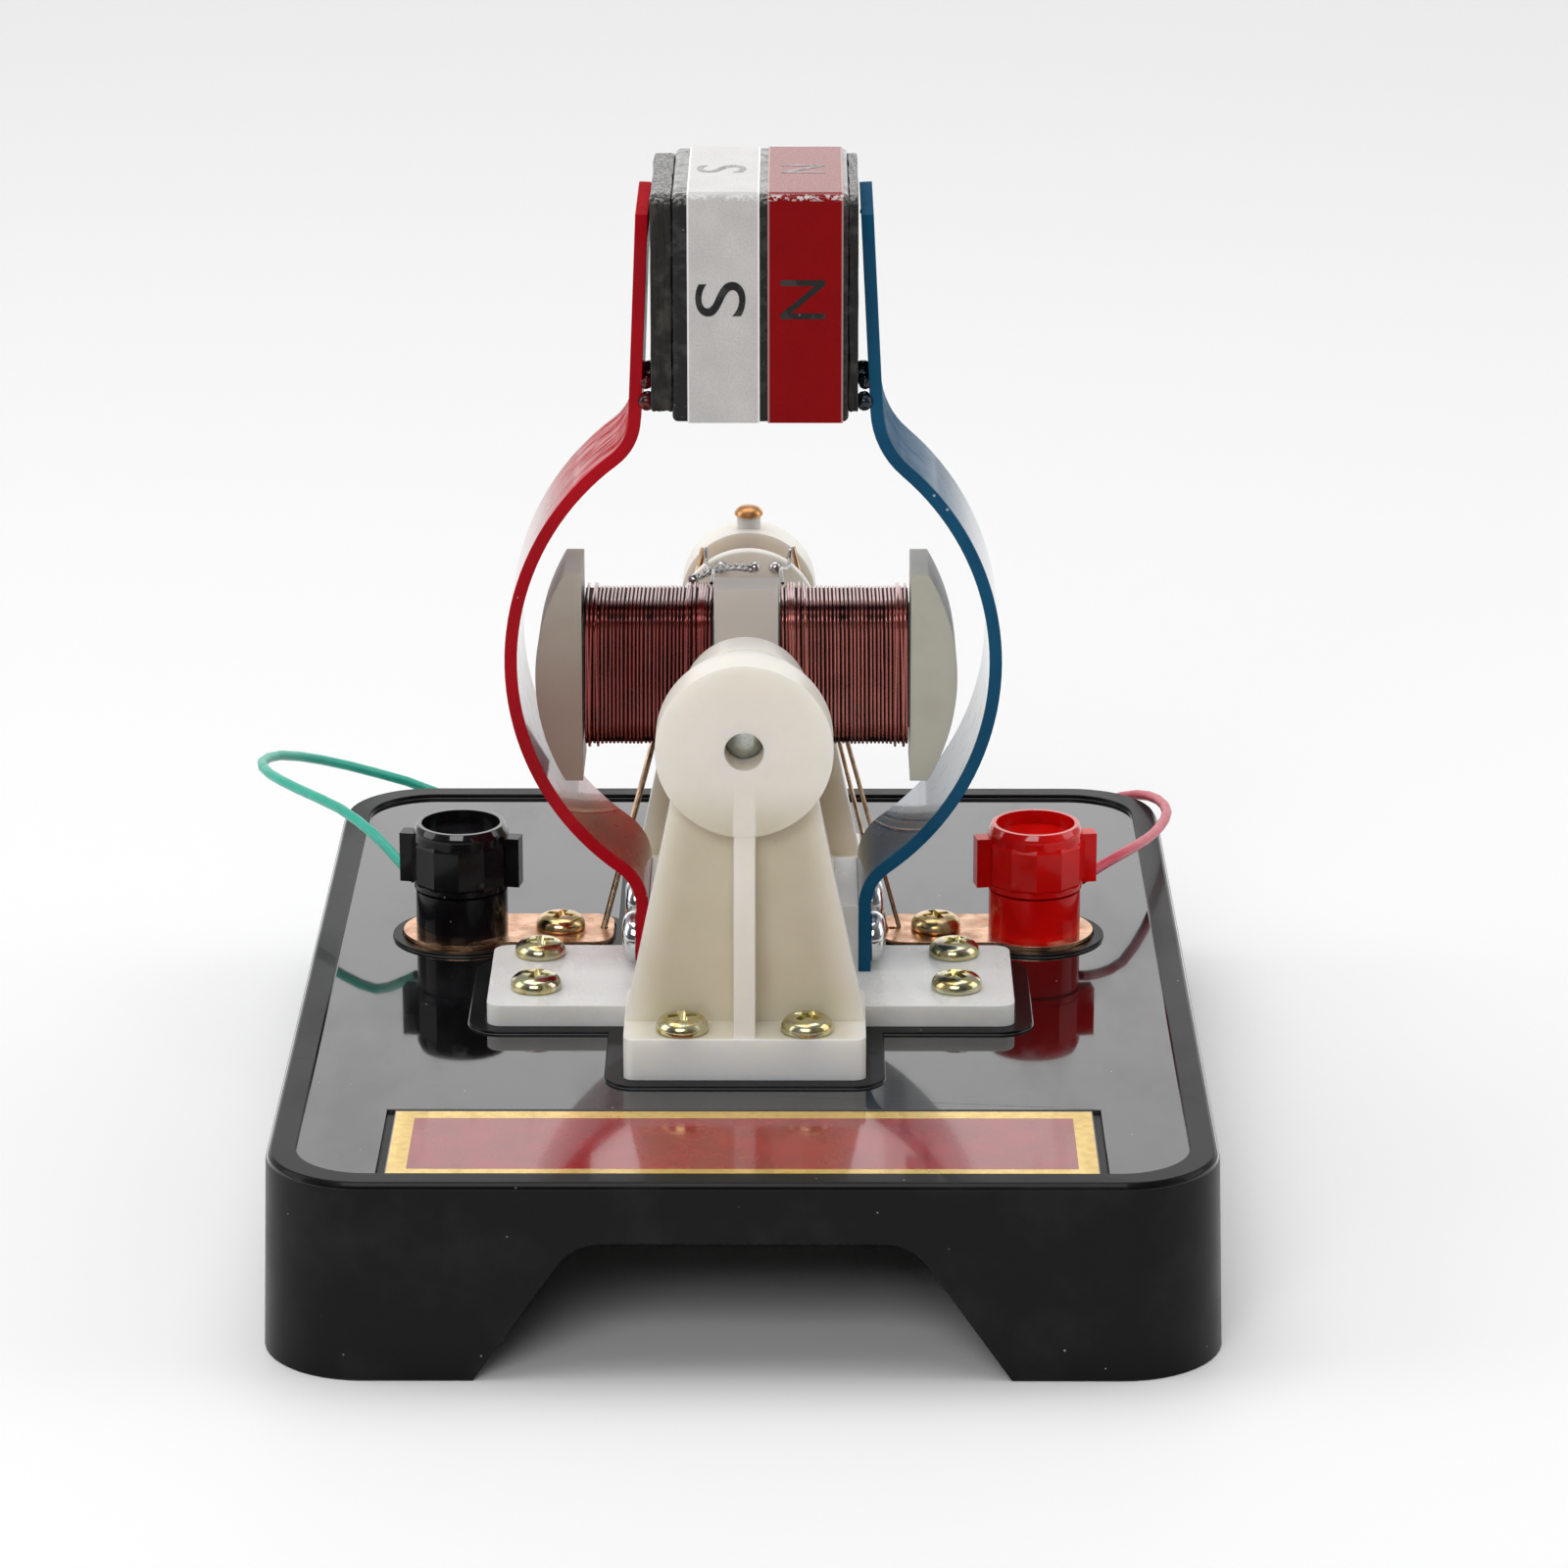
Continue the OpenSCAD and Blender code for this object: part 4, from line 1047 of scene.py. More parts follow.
    @classmethod
    def cut(cls, piece: bpy.types.Object, tool: bpy.types.Object) -> None:
        """Cuts the tool's shape out of the piece and throws the tool away."""
        cls.modify(piece, "BOOLEAN", operation="DIFFERENCE", object=tool, solver="EXACT")
        bpy.data.objects.remove(tool)

    @classmethod
    def copy(cls, piece: bpy.types.Object, name: str, place: Matrix) -> bpy.types.Object:
        """A copy with a mesh of its own, moved by a matrix.

        Args:
            piece: the pattern.
            name: the copy's name.
            place: where it goes, in metres.

        Returns:
            The copy.
        """
        twin = piece.copy()
        twin.data = piece.data.copy()
        twin.name = twin.data.name = name
        bpy.context.scene.collection.objects.link(twin)
        twin.data.transform(place)
        return twin

    @classmethod
    def join(cls, name: str, pieces: Sequence[bpy.types.Object]) -> bpy.types.Object:
        """Joins pieces into one object.

        Args:
            name: its name.
            pieces: two or more pieces.

        Returns:
            The first piece, which now holds them all.
        """
        cls.take(pieces[0])
        for piece in pieces[1:]:
            piece.select_set(True)
        bpy.ops.object.join()
        pieces[0].name = name
        return pieces[0]

    @classmethod
    def soften(
        cls, node: str, name: str, width: float, steps: int = 3, angle: float = 32.0
    ) -> bpy.types.Object:
        """A copy of a CAD node with its doubles merged and its sharp edges rounded.

        Args:
            node: the CAD node.
            name: the new piece's name.
            width: width of the rounding.
            steps: its segments.
            angle: edges sharper than this many degrees are rounded.

        Returns:
            The new piece.
        """
        piece = cls.copy(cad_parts[node], name, Matrix.Identity(4))
        piece.parent = None
        piece.data.materials.clear()
        for key in list(piece.keys()):
            del piece[key]
        cls.take(piece)
        bpy.ops.object.mode_set(mode="EDIT")
        bpy.ops.mesh.select_mode(type="VERT")
        bpy.ops.mesh.select_all(action="SELECT")
        bpy.ops.mesh.remove_doubles(threshold=0.002 * MM)
        bpy.ops.mesh.dissolve_limited(angle_limit=math.radians(0.6))
        cls.leave()
        cls.modify(
            piece, "BEVEL", width=width * MM, segments=steps, limit_method="ANGLE",
            angle_limit=math.radians(angle), use_clamp_overlap=True, miter_outer="MITER_ARC",
        )
        return piece

    @classmethod
    def reuse(
        cls, node: str, name: str, slot: Slot, width: float, steps: int = 3, body: str = "frame",
        sharp: float = 32.0, crease: float = 35.0,
    ) -> None:
        """Softens a CAD node and delivers it in the node's place.

        Args:
            node: the CAD node.
            name: the new piece's name.
            slot: the record's material slot.
            width: width of the rounding.
            steps: its segments.
            body: the CAD body it moves with.
            sharp: edges sharper than this many degrees are rounded.
            crease: edges sharper than this many degrees stay sharp in the shading.
        """
        cls.deliver(cls.soften(node, name, width, steps, sharp), slot, body, [node], crease)

    @classmethod
    def lump(
        cls, name: str, radius: float, place: Point, jitter: float, seed: int
    ) -> bpy.types.Object:
        """A small uneven drop of glue or solder.

        Args:
            name: the piece's name.
            radius: its radius before it is shaken.
            place: its middle.
            jitter: how far its points are moved at random.
            seed: the seed of that.

        Returns:
            The new piece.
        """
        cls.clear()
        bpy.ops.mesh.primitive_ico_sphere_add(
            subdivisions=3, radius=radius * MM, location=[c * MM for c in place]
        )
        piece = cls.settle(name)
        bpy.ops.object.mode_set(mode="EDIT")
        bpy.ops.mesh.select_all(action="SELECT")
        bpy.ops.transform.vertex_random(offset=jitter * MM, seed=seed)
        bpy.ops.mesh.vertices_smooth(factor=0.5, repeat=1)
        cls.leave()
        return piece

    @classmethod
    def tube(
        cls, name: str, runs: Sequence[Sequence[Point]], radius: float, sides: int = 2,
        curve: bool = False,
    ) -> bpy.types.Object:
        """Round wire along one or more runs of points.

        Args:
            name: the piece's name.
            runs: the points of each run.
            radius: the wire's radius.
            sides: Blender's bevel resolution.
            curve: leaves it a curve instead of making it a mesh.

        Returns:
            The new piece.
        """
        cls.clear()
        data = bpy.data.curves.new(name, "CURVE")
        data.dimensions = "3D"
        data.bevel_depth = radius * MM
        data.bevel_resolution = sides
        data.use_fill_caps = True
        for run in runs:
            spline = data.splines.new("POLY")
            spline.points.add(len(run) - 1)
            for point, place in zip(spline.points, run):
                point.co = (*(c * MM for c in place), 1.0)
        piece = bpy.data.objects.new(name, data)
        bpy.context.scene.collection.objects.link(piece)
        if not curve:
            cls.take(piece)
            bpy.ops.object.convert(target="MESH")
            piece = bpy.context.object
        return piece

    @classmethod
    def deliver(
        cls,
        piece: bpy.types.Object,
        slot: Slot,
        body: str,
        nodes: Sequence[str] = (),
        crease: float = 35.0,
        level: bool = True,
    ) -> bpy.types.Object:
        """Shades, paints and hands over a finished piece.

        Args:
            piece: the piece.
            slot: the record's material slot.
            body: the CAD body it moves with.
            nodes: CAD nodes it stands for.
            crease: edges sharper than this many degrees stay sharp.
            level: keeps large faces evenly shaded up to their rounded edges.

        Returns:
            The same piece.
        """
        if piece.type == "MESH":
            cls.take(piece)
            bpy.ops.object.shade_smooth_by_angle(angle=math.radians(crease))
            if level:
                cls.modify(piece, "WEIGHTED_NORMAL", mode="FACE_AREA", weight=50, keep_sharp=True)
            piece.data.materials.clear()
        piece.data.materials.append(PAINTS.get(slot))
        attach(piece, body)
        if nodes:
            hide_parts(*nodes)
        cls.clear()
        LOG.info("%s: %s on %s", piece.name, slot.value, body)
        return piece


def dress(node: str, slot: Slot) -> None:
    """Gives a finish to a CAD node whose shape already is as it should be.

    Args:
        node: the CAD node.
        slot: the record's material slot.
    """
    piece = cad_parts[node]
    piece.data.materials.clear()
    piece.data.materials.append(PAINTS.get(slot))
    LOG.info("%s: %s, as packed", node, slot.value)


def box_mm(node: str) -> tuple[Vector, Vector]:
    """The lowest and the highest corner of a CAD node, in millimetres."""
    low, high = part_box(node)
    return low / MM, high / MM


def smooth_route(points: Sequence[Point], steps: int) -> list[Point]:
    """A smooth line through chosen points.

    Args:
        points: the chosen points.
        steps: how many parts each stretch is cut into.

    Returns:
        The points of the line.
    """
    line: list[Point] = []
    last = len(points) - 1
    for i in range(last):
        a, b, c, d = (Vector(points[min(max(i + k, 0), last)]) for k in (-1, 0, 1, 2))
        for k in range(steps):
            t = k / steps
            bend = (2 * a - 5 * b + 4 * c - d) * t * t + (3 * b - a - 3 * c + d) * t**3
            line.append(tuple(0.5 * (2 * b + (c - a) * t + bend)))
    return [*line, tuple(points[last])]


# ---------------------------------------------------------------------------
# Studio


@dataclass
class Studio:
    """Camera at the photograph's place, a pale floor and soft lights."""

    lens: float = 136.19
    place: Point = (0.006566, -0.73333, 0.28366)
    pitch: float = 0.3083
    yaw: float = 0.0024
    floor_tone: float = 0.90
    lights: tuple[tuple[str, Point, Point, float, float, float], ...] = (
        ("top_softbox", (-0.10, 0.10, 1.25), (0.0, 0.0, 0.05), 1.3, 1.1, 9.0),
        ("left_softbox", (-1.15, -0.05, 0.55), (0.0, 0.0, 0.06), 0.7, 0.9, 3.6),
        ("right_softbox", (1.15, 0.05, 0.55), (0.0, 0.0, 0.06), 0.7, 0.9, 3.2),
        ("front_softbox", (-0.25, -1.35, 0.95), (0.0, 0.0, 0.05), 0.9, 0.6, 9.0),
        ("back_card", (0.0, 1.45, 0.30), (0.0, 0.0, 0.22), 2.6, 0.75, 6.0),
    )

    def build(self) -> None:
        """Builds the camera, the floor, the world and the lights."""
        data = bpy.data.cameras.new("view_camera")
        data.sensor_width = 36.0
        data.lens = self.lens
        data.dof.use_dof = False
        data.clip_start, data.clip_end = 0.01, 20.0
        camera = bpy.data.objects.new("view_camera", data)
        camera.location = self.place
        camera.rotation_euler = (math.pi / 2 - self.pitch, 0.0, self.yaw)
        bpy.context.scene.collection.objects.link(camera)
        bpy.context.scene.camera = camera
        bpy.context.scene.view_settings.view_transform = "Standard"
        self._floor()
        self._world()
        for light in self.lights:
            self._light(*light)

    def _floor(self) -> None:
        """Lays the floor just under the object."""
        Bench.clear()
        bpy.ops.mesh.primitive_plane_add(size=14.0, location=(0, 0, -0.05 * MM))
        floor = bpy.context.object
        floor.name = "studio_floor"
        floor.data.materials.append(PaleFloor(self.floor_tone).make("studio_floor_finish"))

    @staticmethod
    def _world() -> None:
        """Lights the surroundings grey: pale at the back and dim behind the camera."""
        world = bpy.data.worlds.new("studio_world")
        bpy.context.scene.world = world
        world.use_nodes = True
        tree = world.node_tree
        ways = tree.nodes.new("ShaderNodeTexCoord")
        parts = tree.nodes.new("ShaderNodeSeparateXYZ")
        depth = tree.nodes.new("ShaderNodeMapRange")
        depth.inputs["From Min"].default_value = -1.0
        ramp = tree.nodes.new("ShaderNodeValToRGB")
        stops = ramp.color_ramp.elements
        stops.new(0.5)
        for stop, (place, grey) in zip(stops, ((0.12, 0.07), (0.35, 0.26), (0.62, 0.42))):
            stop.position, stop.color = place, (grey, grey, grey, 1.0)
        tree.links.new(ways.outputs["Generated"], parts.inputs[0])
        tree.links.new(parts.outputs["Y"], depth.inputs["Value"])
        tree.links.new(depth.outputs["Result"], ramp.inputs["Fac"])
        tree.links.new(ramp.outputs["Color"], tree.nodes["Background"].inputs[0])

    @staticmethod
    def _light(
        name: str, place: Point, aim: Point, width: float, height: float, power: float
    ) -> None:
        """Hangs one soft light.

        Args:
            name: its name.
            place: where it hangs, in metres.
            aim: the point it faces.
            width: its width.
            height: its height.
            power: its power in watts.
        """
        data = bpy.data.lights.new(name, "AREA")
        data.shape = "RECTANGLE"
        data.size, data.size_y = width, height
        data.energy = power
        light = bpy.data.objects.new(name, data)
        light.location = place
        way = Vector(aim) - Vector(place)
        light.rotation_euler = way.to_track_quat("-Z", "Y").to_euler()
        bpy.context.scene.collection.objects.link(light)


# ---------------------------------------------------------------------------
# Leads


@dataclass
class Lead:
    """A soft lead: its route to the table, a small coil behind the base and a tie round it."""

    name: str
    route: tuple[Point, ...]
    side: int
    slot: Slot
    diameter: float = 1.4
    turns: int = 4
    per_turn: int = 24
    coil_radius: float = 7.4
    pitch: float = 2.0
    floor: float = 0.8
    clamp_h: float = 30.85
    tie_wire: float = 0.28
    strand: float = 0.14
    fine_strand: float = 0.11

    @property
    def swing(self) -> float:
        """How far the coil's radius goes either side of its mean."""
        return self.pitch * self.turns / 4

    @property
    def reach(self) -> float:
        """How far beyond the route's end the coil's middle lies."""
        return self.coil_radius + self.swing

    def coil(self) -> list[Point]:
        """Winds the coil inwards on the table and outwards again on top of itself.

        Returns:
            Its points.
        """
        x, y, _ = self.route[-1]
        steps = self.turns * self.per_turn
        points: list[Point] = []
        for k in range(steps + 1):
            angle = math.tau * k / self.per_turn
            half = 2 * k / steps - 1
            r = self.coil_radius + self.swing * (2 * abs(half) - 1)
            t = max(min(half * self.turns * 4, 1.0), 0.0)
            z = self.floor + t * t * (3 - 2 * t) * self.pitch
            across = self.side * r * math.sin(angle)
            points.append((x + across, y + self.reach - r * math.cos(angle), z))
        return points

    def points(self) -> list[Point]:
        """The lead's whole centreline."""
        return smooth_route(self.route, 2)[:-1] + self.coil()

    def length(self) -> float:
        """The lead's length in millimetres."""
        line = [Vector(p) for p in self.points()]
        return sum((b - a).length for a, b in zip(line, line[1:]))

    def build(self) -> None:
        line = self.points()
        cable = Bench.tube(f"{self.name}_cable", [line], self.diameter / 2, 4, curve=True)
        cable.data.resolution_u = 1
        Bench.deliver(cable, self.slot, "frame", [f"{self.name}_lead", f"{self.name}_lead_coil"])
        tie = self._tie()
        tip = self._tip(line)
        strands = self._strands()
        tuple(c * MM for c in line[0])
        self.length() * MM

    def _tie(self) -> bpy.types.Object:
        """Bends a flat paper-covered wire tie round the coil's turns.

        Returns:
            The piece.
        """
        x, y, _ = self.route[-1]
        z = self.floor + self.pitch / 2
        middle = Vector((x + self.side * self.coil_radius, y + self.reach, z))
        half_w, half_h = (self.pitch + 0.1) / 2 + 0.9, self.pitch / 2 + 0.75
        ring = []
        for k in range(self.per_turn):
            a = math.tau * k / self.per_turn
            across = max(min(1.35 * math.cos(a), 1), -1) * half_w
            up = max(min(1.25 * math.sin(a), 1), -1) * half_h
            ring.append((middle.x + across, middle.y, middle.z + up))
        tail = [(middle.x + dx, middle.y - dy, middle.z + half_h + dz)
                for dx, dy, dz in ((0.5, 0.2, 0.0), (1.4, 1.6, 0.8), (1.2, 3.4, 1.0))]
        runs = [[*ring, ring[0]], smooth_route(tail, 5)]
        tie = Bench.tube(f"{self.name}_tie", runs, self.tie_wire, 2)
        return Bench.deliver(tie, Slot.BLACK_POST, "frame")

    def _tip(self, line: list[Point]) -> bpy.types.Object:
        """Bare strands at the far end: six round one, sagging a little.

        Args:
            line: the lead's centreline.

        Returns:
            The piece.
        """
        end, before = Vector(line[-1]), Vector(line[-2])
        way = (end - before).normalized()
        side, fall = way.cross(Vector((0, 0, 1))), Vector((0, 0, -1))
        runs = []
        for k in range(7):
            a = math.tau * k / 6
            spread = side * math.cos(a) + Vector((0, 0, 0.5)) * math.sin(a)
            spread *= 0.3 if k < 6 else 0.0
            runs.append([
                tuple(end - way * 0.3 + spread), tuple(end + way * 2.2 + fall * 0.9 + spread * 1.3),
                tuple(end + way * 4.4 + fall * 1.8 + spread * (1.6 + 0.3 * (k % 3)))])
        tip = Bench.tube(f"{self.name}_tip", [smooth_route(r, 4) for r in runs], self.strand, 2)
        return Bench.deliver(tip, Slot.STRANDS, "frame")

    def _strands(self) -> bpy.types.Object:
        """Lays bare strands round the terminal's stud, some of them frayed.

        Returns:
            The piece.
        """
        sign = -1 if self.side > 0 else 1
        start = Vector(self.route[0])
        runs = []
        for k in range(9):
            drop = -0.12 + 0.06 * (k % 5)
            z, r = self.clamp_h + drop, 2.45 + 0.1 * k
            run = [tuple(start + Vector((sign * -0.2, -0.15, drop))),
                   (sign * 43.1, 16.1 + 0.1 * k, z + 0.05), (sign * 41.0, 15.2 + 0.12 * k, z)]
            for i in range(7):
                angle = 0.45 + 0.5 * i
                x, y = POST_X + r * math.cos(angle), POST_Y + r * math.sin(angle)
                run.append((sign * x, y, z))
            runs.append(smooth_route(run, 3))
        root = start + Vector((sign * -1.2, -0.9, -0.1))
        for dx, dy, dz in ((0.6, 1.4, 1.3), (1.5, -0.8, 1.0), (-0.7, 1.8, 0.8), (0.3, -1.6, 0.5)):
            tip = root + Vector((sign * dx, dy, dz))
            bend = (root + tip) / 2 + Vector((0, 0, 0.25))
            runs.append(smooth_route([tuple(root), tuple(bend), tuple(tip)], 4))
        piece = Bench.tube(f"{self.name}_strands", runs, self.fine_strand, 2)
        return Bench.deliver(piece, Slot.STRANDS, "frame", [f"{self.name}_lead_ends"])


GREEN_ROUTE: tuple[Point, ...] = (
    (-44.5, 17.5, 31.2), (-47, 20, 33.2), (-50.5, 24, 35.5), (-55.5, 32, 36.4), (-62, 42, 36),
    (-66.5, 50, 35.6), (-68.3, 58, 34.8), (-66.5, 67, 33), (-61.5, 76, 29.5), (-54, 82, 25.6),
    (-46, 86, 21.5), (-38, 89, 15), (-31, 91, 8), (-24, 91.5, 2.6), (-17, 91.5, 0.8),
    (-10, 91.5, 0.8),
)
RED_ROUTE: tuple[Point, ...] = (
    (44.5, 17.5, 31.2), (47, 20.5, 32), (50.6, 26, 32.2), (54.2, 36, 30.8), (56.6, 46, 29.3),
    (58.2, 56, 28.2), (57.6, 66, 26.8), (55, 74, 25), (50.5, 81, 21.6), (45, 86, 16.5),
    (39, 89, 10.5), (33, 91, 5), (27, 91.5, 1.6), (20, 91.5, 0.8), (13, 91.5, 0.8),
)


# ---------------------------------------------------------------------------
# Sub-assemblies


@dataclass
class ScrewMaker:
    """Pan head screws with a cross recess: one is modelled and the rest are copies.

    The curve holds radius and height of the head's shoulder, as shares of the head's own.
    """

    radius: float = 3.3
    height: float = 2.0
    curve: Stations = (
        (0.985, 0.42), (0.94, 0.6), (0.87, 0.75), (0.77, 0.87), (0.63, 0.95), (0.45, 0.99),
        (0.2, 1.0),
    )
    arm: float = 2.35
    slot_w: float = 1.25
    deep: float = 1.6
    taper: float = 0.42
    master: bpy.types.Object | None = None

    def _head(self) -> bpy.types.Object:
        """Models the head once, standing on z = 0.

        Returns:
            The pattern that the screws are copied from.
        """
        if self.master is None:
            r, h = self.radius, self.height
            dome = [(r - 0.25, 0.0), (r, 0.22), (r, 0.5)]
            dome += [(r * wide, h * high) for wide, high in self.curve]
            head = Bench.turned("screw_head_pattern", [*dome, (0.15, h + 0.01)], sides=48)
            floor, slim = h - self.deep, self.slot_w / 2
            for across, along in ((self.arm, slim), (slim, self.arm)):
                tool = Bench.block("recess_tool", (-across, -along, floor), (across, along, h + 1))
                Bench.choose(tool, "FACE", lambda c, n: n.z < -0.9)
                bpy.ops.transform.resize(
                    value=(self.taper, self.taper, 1.0), center_override=(0, 0, floor * MM)
                )
                Bench.leave()
                Bench.cut(head, tool)
            self.master = head
        return self.master

    def set(
        self, name: str, places: Sequence[Matrix], slot: Slot, nodes: Sequence[str], shank: float
    ) -> None:
        """Copies the head to each place and joins them.

        Args:
            name: the joined piece's name.
            places: a matrix for each screw.
            slot: its finish.
            nodes: CAD nodes it stands for.
            shank: length of the shank below the head.
        """
        made = []
        stations = [(1.0, -shank), (1.4, -shank + 0.6), (1.4, 0.1)]
        for k, place in enumerate(places):
            made.append(Bench.copy(self._head(), f"{name}_{k}", place))
            rod = Bench.turned(f"{name}_rod_{k}", stations, sides=24)
            rod.data.transform(place)
            made.append(rod)
        Bench.deliver(Bench.join(name, made), slot, "frame", nodes, 30.0)

    def discard(self) -> None:
        """Throws the pattern away."""
        if self.master is not None:
            bpy.data.objects.remove(self.master)


# signs along Y and X of four screws in a rectangle, in the order in which they are copied
FOUR_CORNERS = ((-1, -1), (-1, 1), (1, -1), (1, 1))


def upright_at(x: float, y: float, z: float, turn: float) -> Matrix:
    """Place of an upright screw, in millimetres, turned by degrees."""
    return Matrix.Translation(Vector((x, y, z)) * MM) @ Matrix.Rotation(math.radians(turn), 4, "Z")


def sideways_at(x: float, y: float, z: float, sign: int, turn: float) -> Matrix:
    """Place of a bolt that lies along X with its head towards sign, turned by degrees."""
    lay = Matrix.Rotation(math.radians(90.0 * sign), 4, "Y")
    return upright_at(x, y, z, 0.0) @ lay @ Matrix.Rotation(math.radians(turn), 4, "Z")


@dataclass
class Base:
    """The moulded base, its name plate and the contact plates seated on it."""

    edge: float = 0.45
    plate_edge: float = 0.18

    def build(self) -> None:
        """Builds the base group."""
        Bench.reuse("base_shell", "base_moulding", Slot.BASE, self.edge)
        dress("name_plate", Slot.PLATE)
        for side in ("left", "right"):
            plate, strip = f"{side}_contact_plate", f"{side}_contact_strip"
            Bench.reuse(plate, strip, Slot.CONTACT, self.plate_edge, 2)


@dataclass
class Stands:
    """The two bearing stands, the pole brackets and their screws."""

    edge: float = 0.5
    bracket_edge: float = 0.45
    screws: ScrewMaker = field(default_factory=ScrewMaker)
    foot_top: float = 30.0
    bracket_top: float = 27.5
    bracket_x: float = 27.0
    bracket_y: tuple[float, float] = (-2.1, -15.2)
    contact_x: float = 25.0
    turns: tuple[float, ...] = (8.0, 52.0, -20.0, 33.0)
    plug: Stations = (
        (0.8, -5.8), (0.8, -1.4), (1.75, -1.4), (1.9, -1.25), (1.9, -0.95), (1.7, -0.55),
        (1.3, -0.22), (0.8, -0.05), (0.2, 0.0),
    )

    def build(self) -> None:
        """Builds the stand group."""
        for end in ("front", "rear"):
            Bench.reuse(f"{end}_stand", f"{end}_bearing_stand", Slot.IVORY, self.edge)
        for side in ("left", "right"):
            bracket = f"{side}_pole_bracket"
            Bench.reuse(bracket, f"{side}_bracket_moulding", Slot.WHITE, self.bracket_edge)
        self._plug()
        high = box_mm("stand_screws")[1]
        x, y = high.x - self.screws.radius, high.y - self.screws.radius
        plate_top = box_mm("left_contact_plate")[1].z
        stand = [upright_at(sx * x, sy * y, self.foot_top, turn)
                 for (sy, sx), turn in zip(FOUR_CORNERS, self.turns)]
        ledge = [upright_at(sx * self.bracket_x, self.bracket_y[sy > 0], self.bracket_top, turn)
                 for (sy, sx), turn in zip(FOUR_CORNERS, self.turns)]
        feet = [upright_at(sx * self.contact_x, POST_Y, plate_top, 20.0 * sx) for sx in (-1, 1)]
        for what, places, slot, shank in (
            ("stand", stand, Slot.ZINC, 13.0), ("bracket", ledge, Slot.ZINC, 11.0),
            ("contact", feet, Slot.CONTACT_SCREW, 8.0),
        ):
            self.screws.set(f"{what}_pan_screws", places, slot, [f"{what}_screws"], shank)

    def _plug(self) -> None:
        """Turns the domed plug of the oil hole."""
        low, high = box_mm("oil_plug")
        centre = ((low.x + high.x) / 2, (low.y + high.y) / 2, high.z)
        plug = Bench.turned("oil_plug_cap", self.plug, centre, sides=40)
        Bench.deliver(plug, Slot.PLUG, "frame", ["oil_plug"])


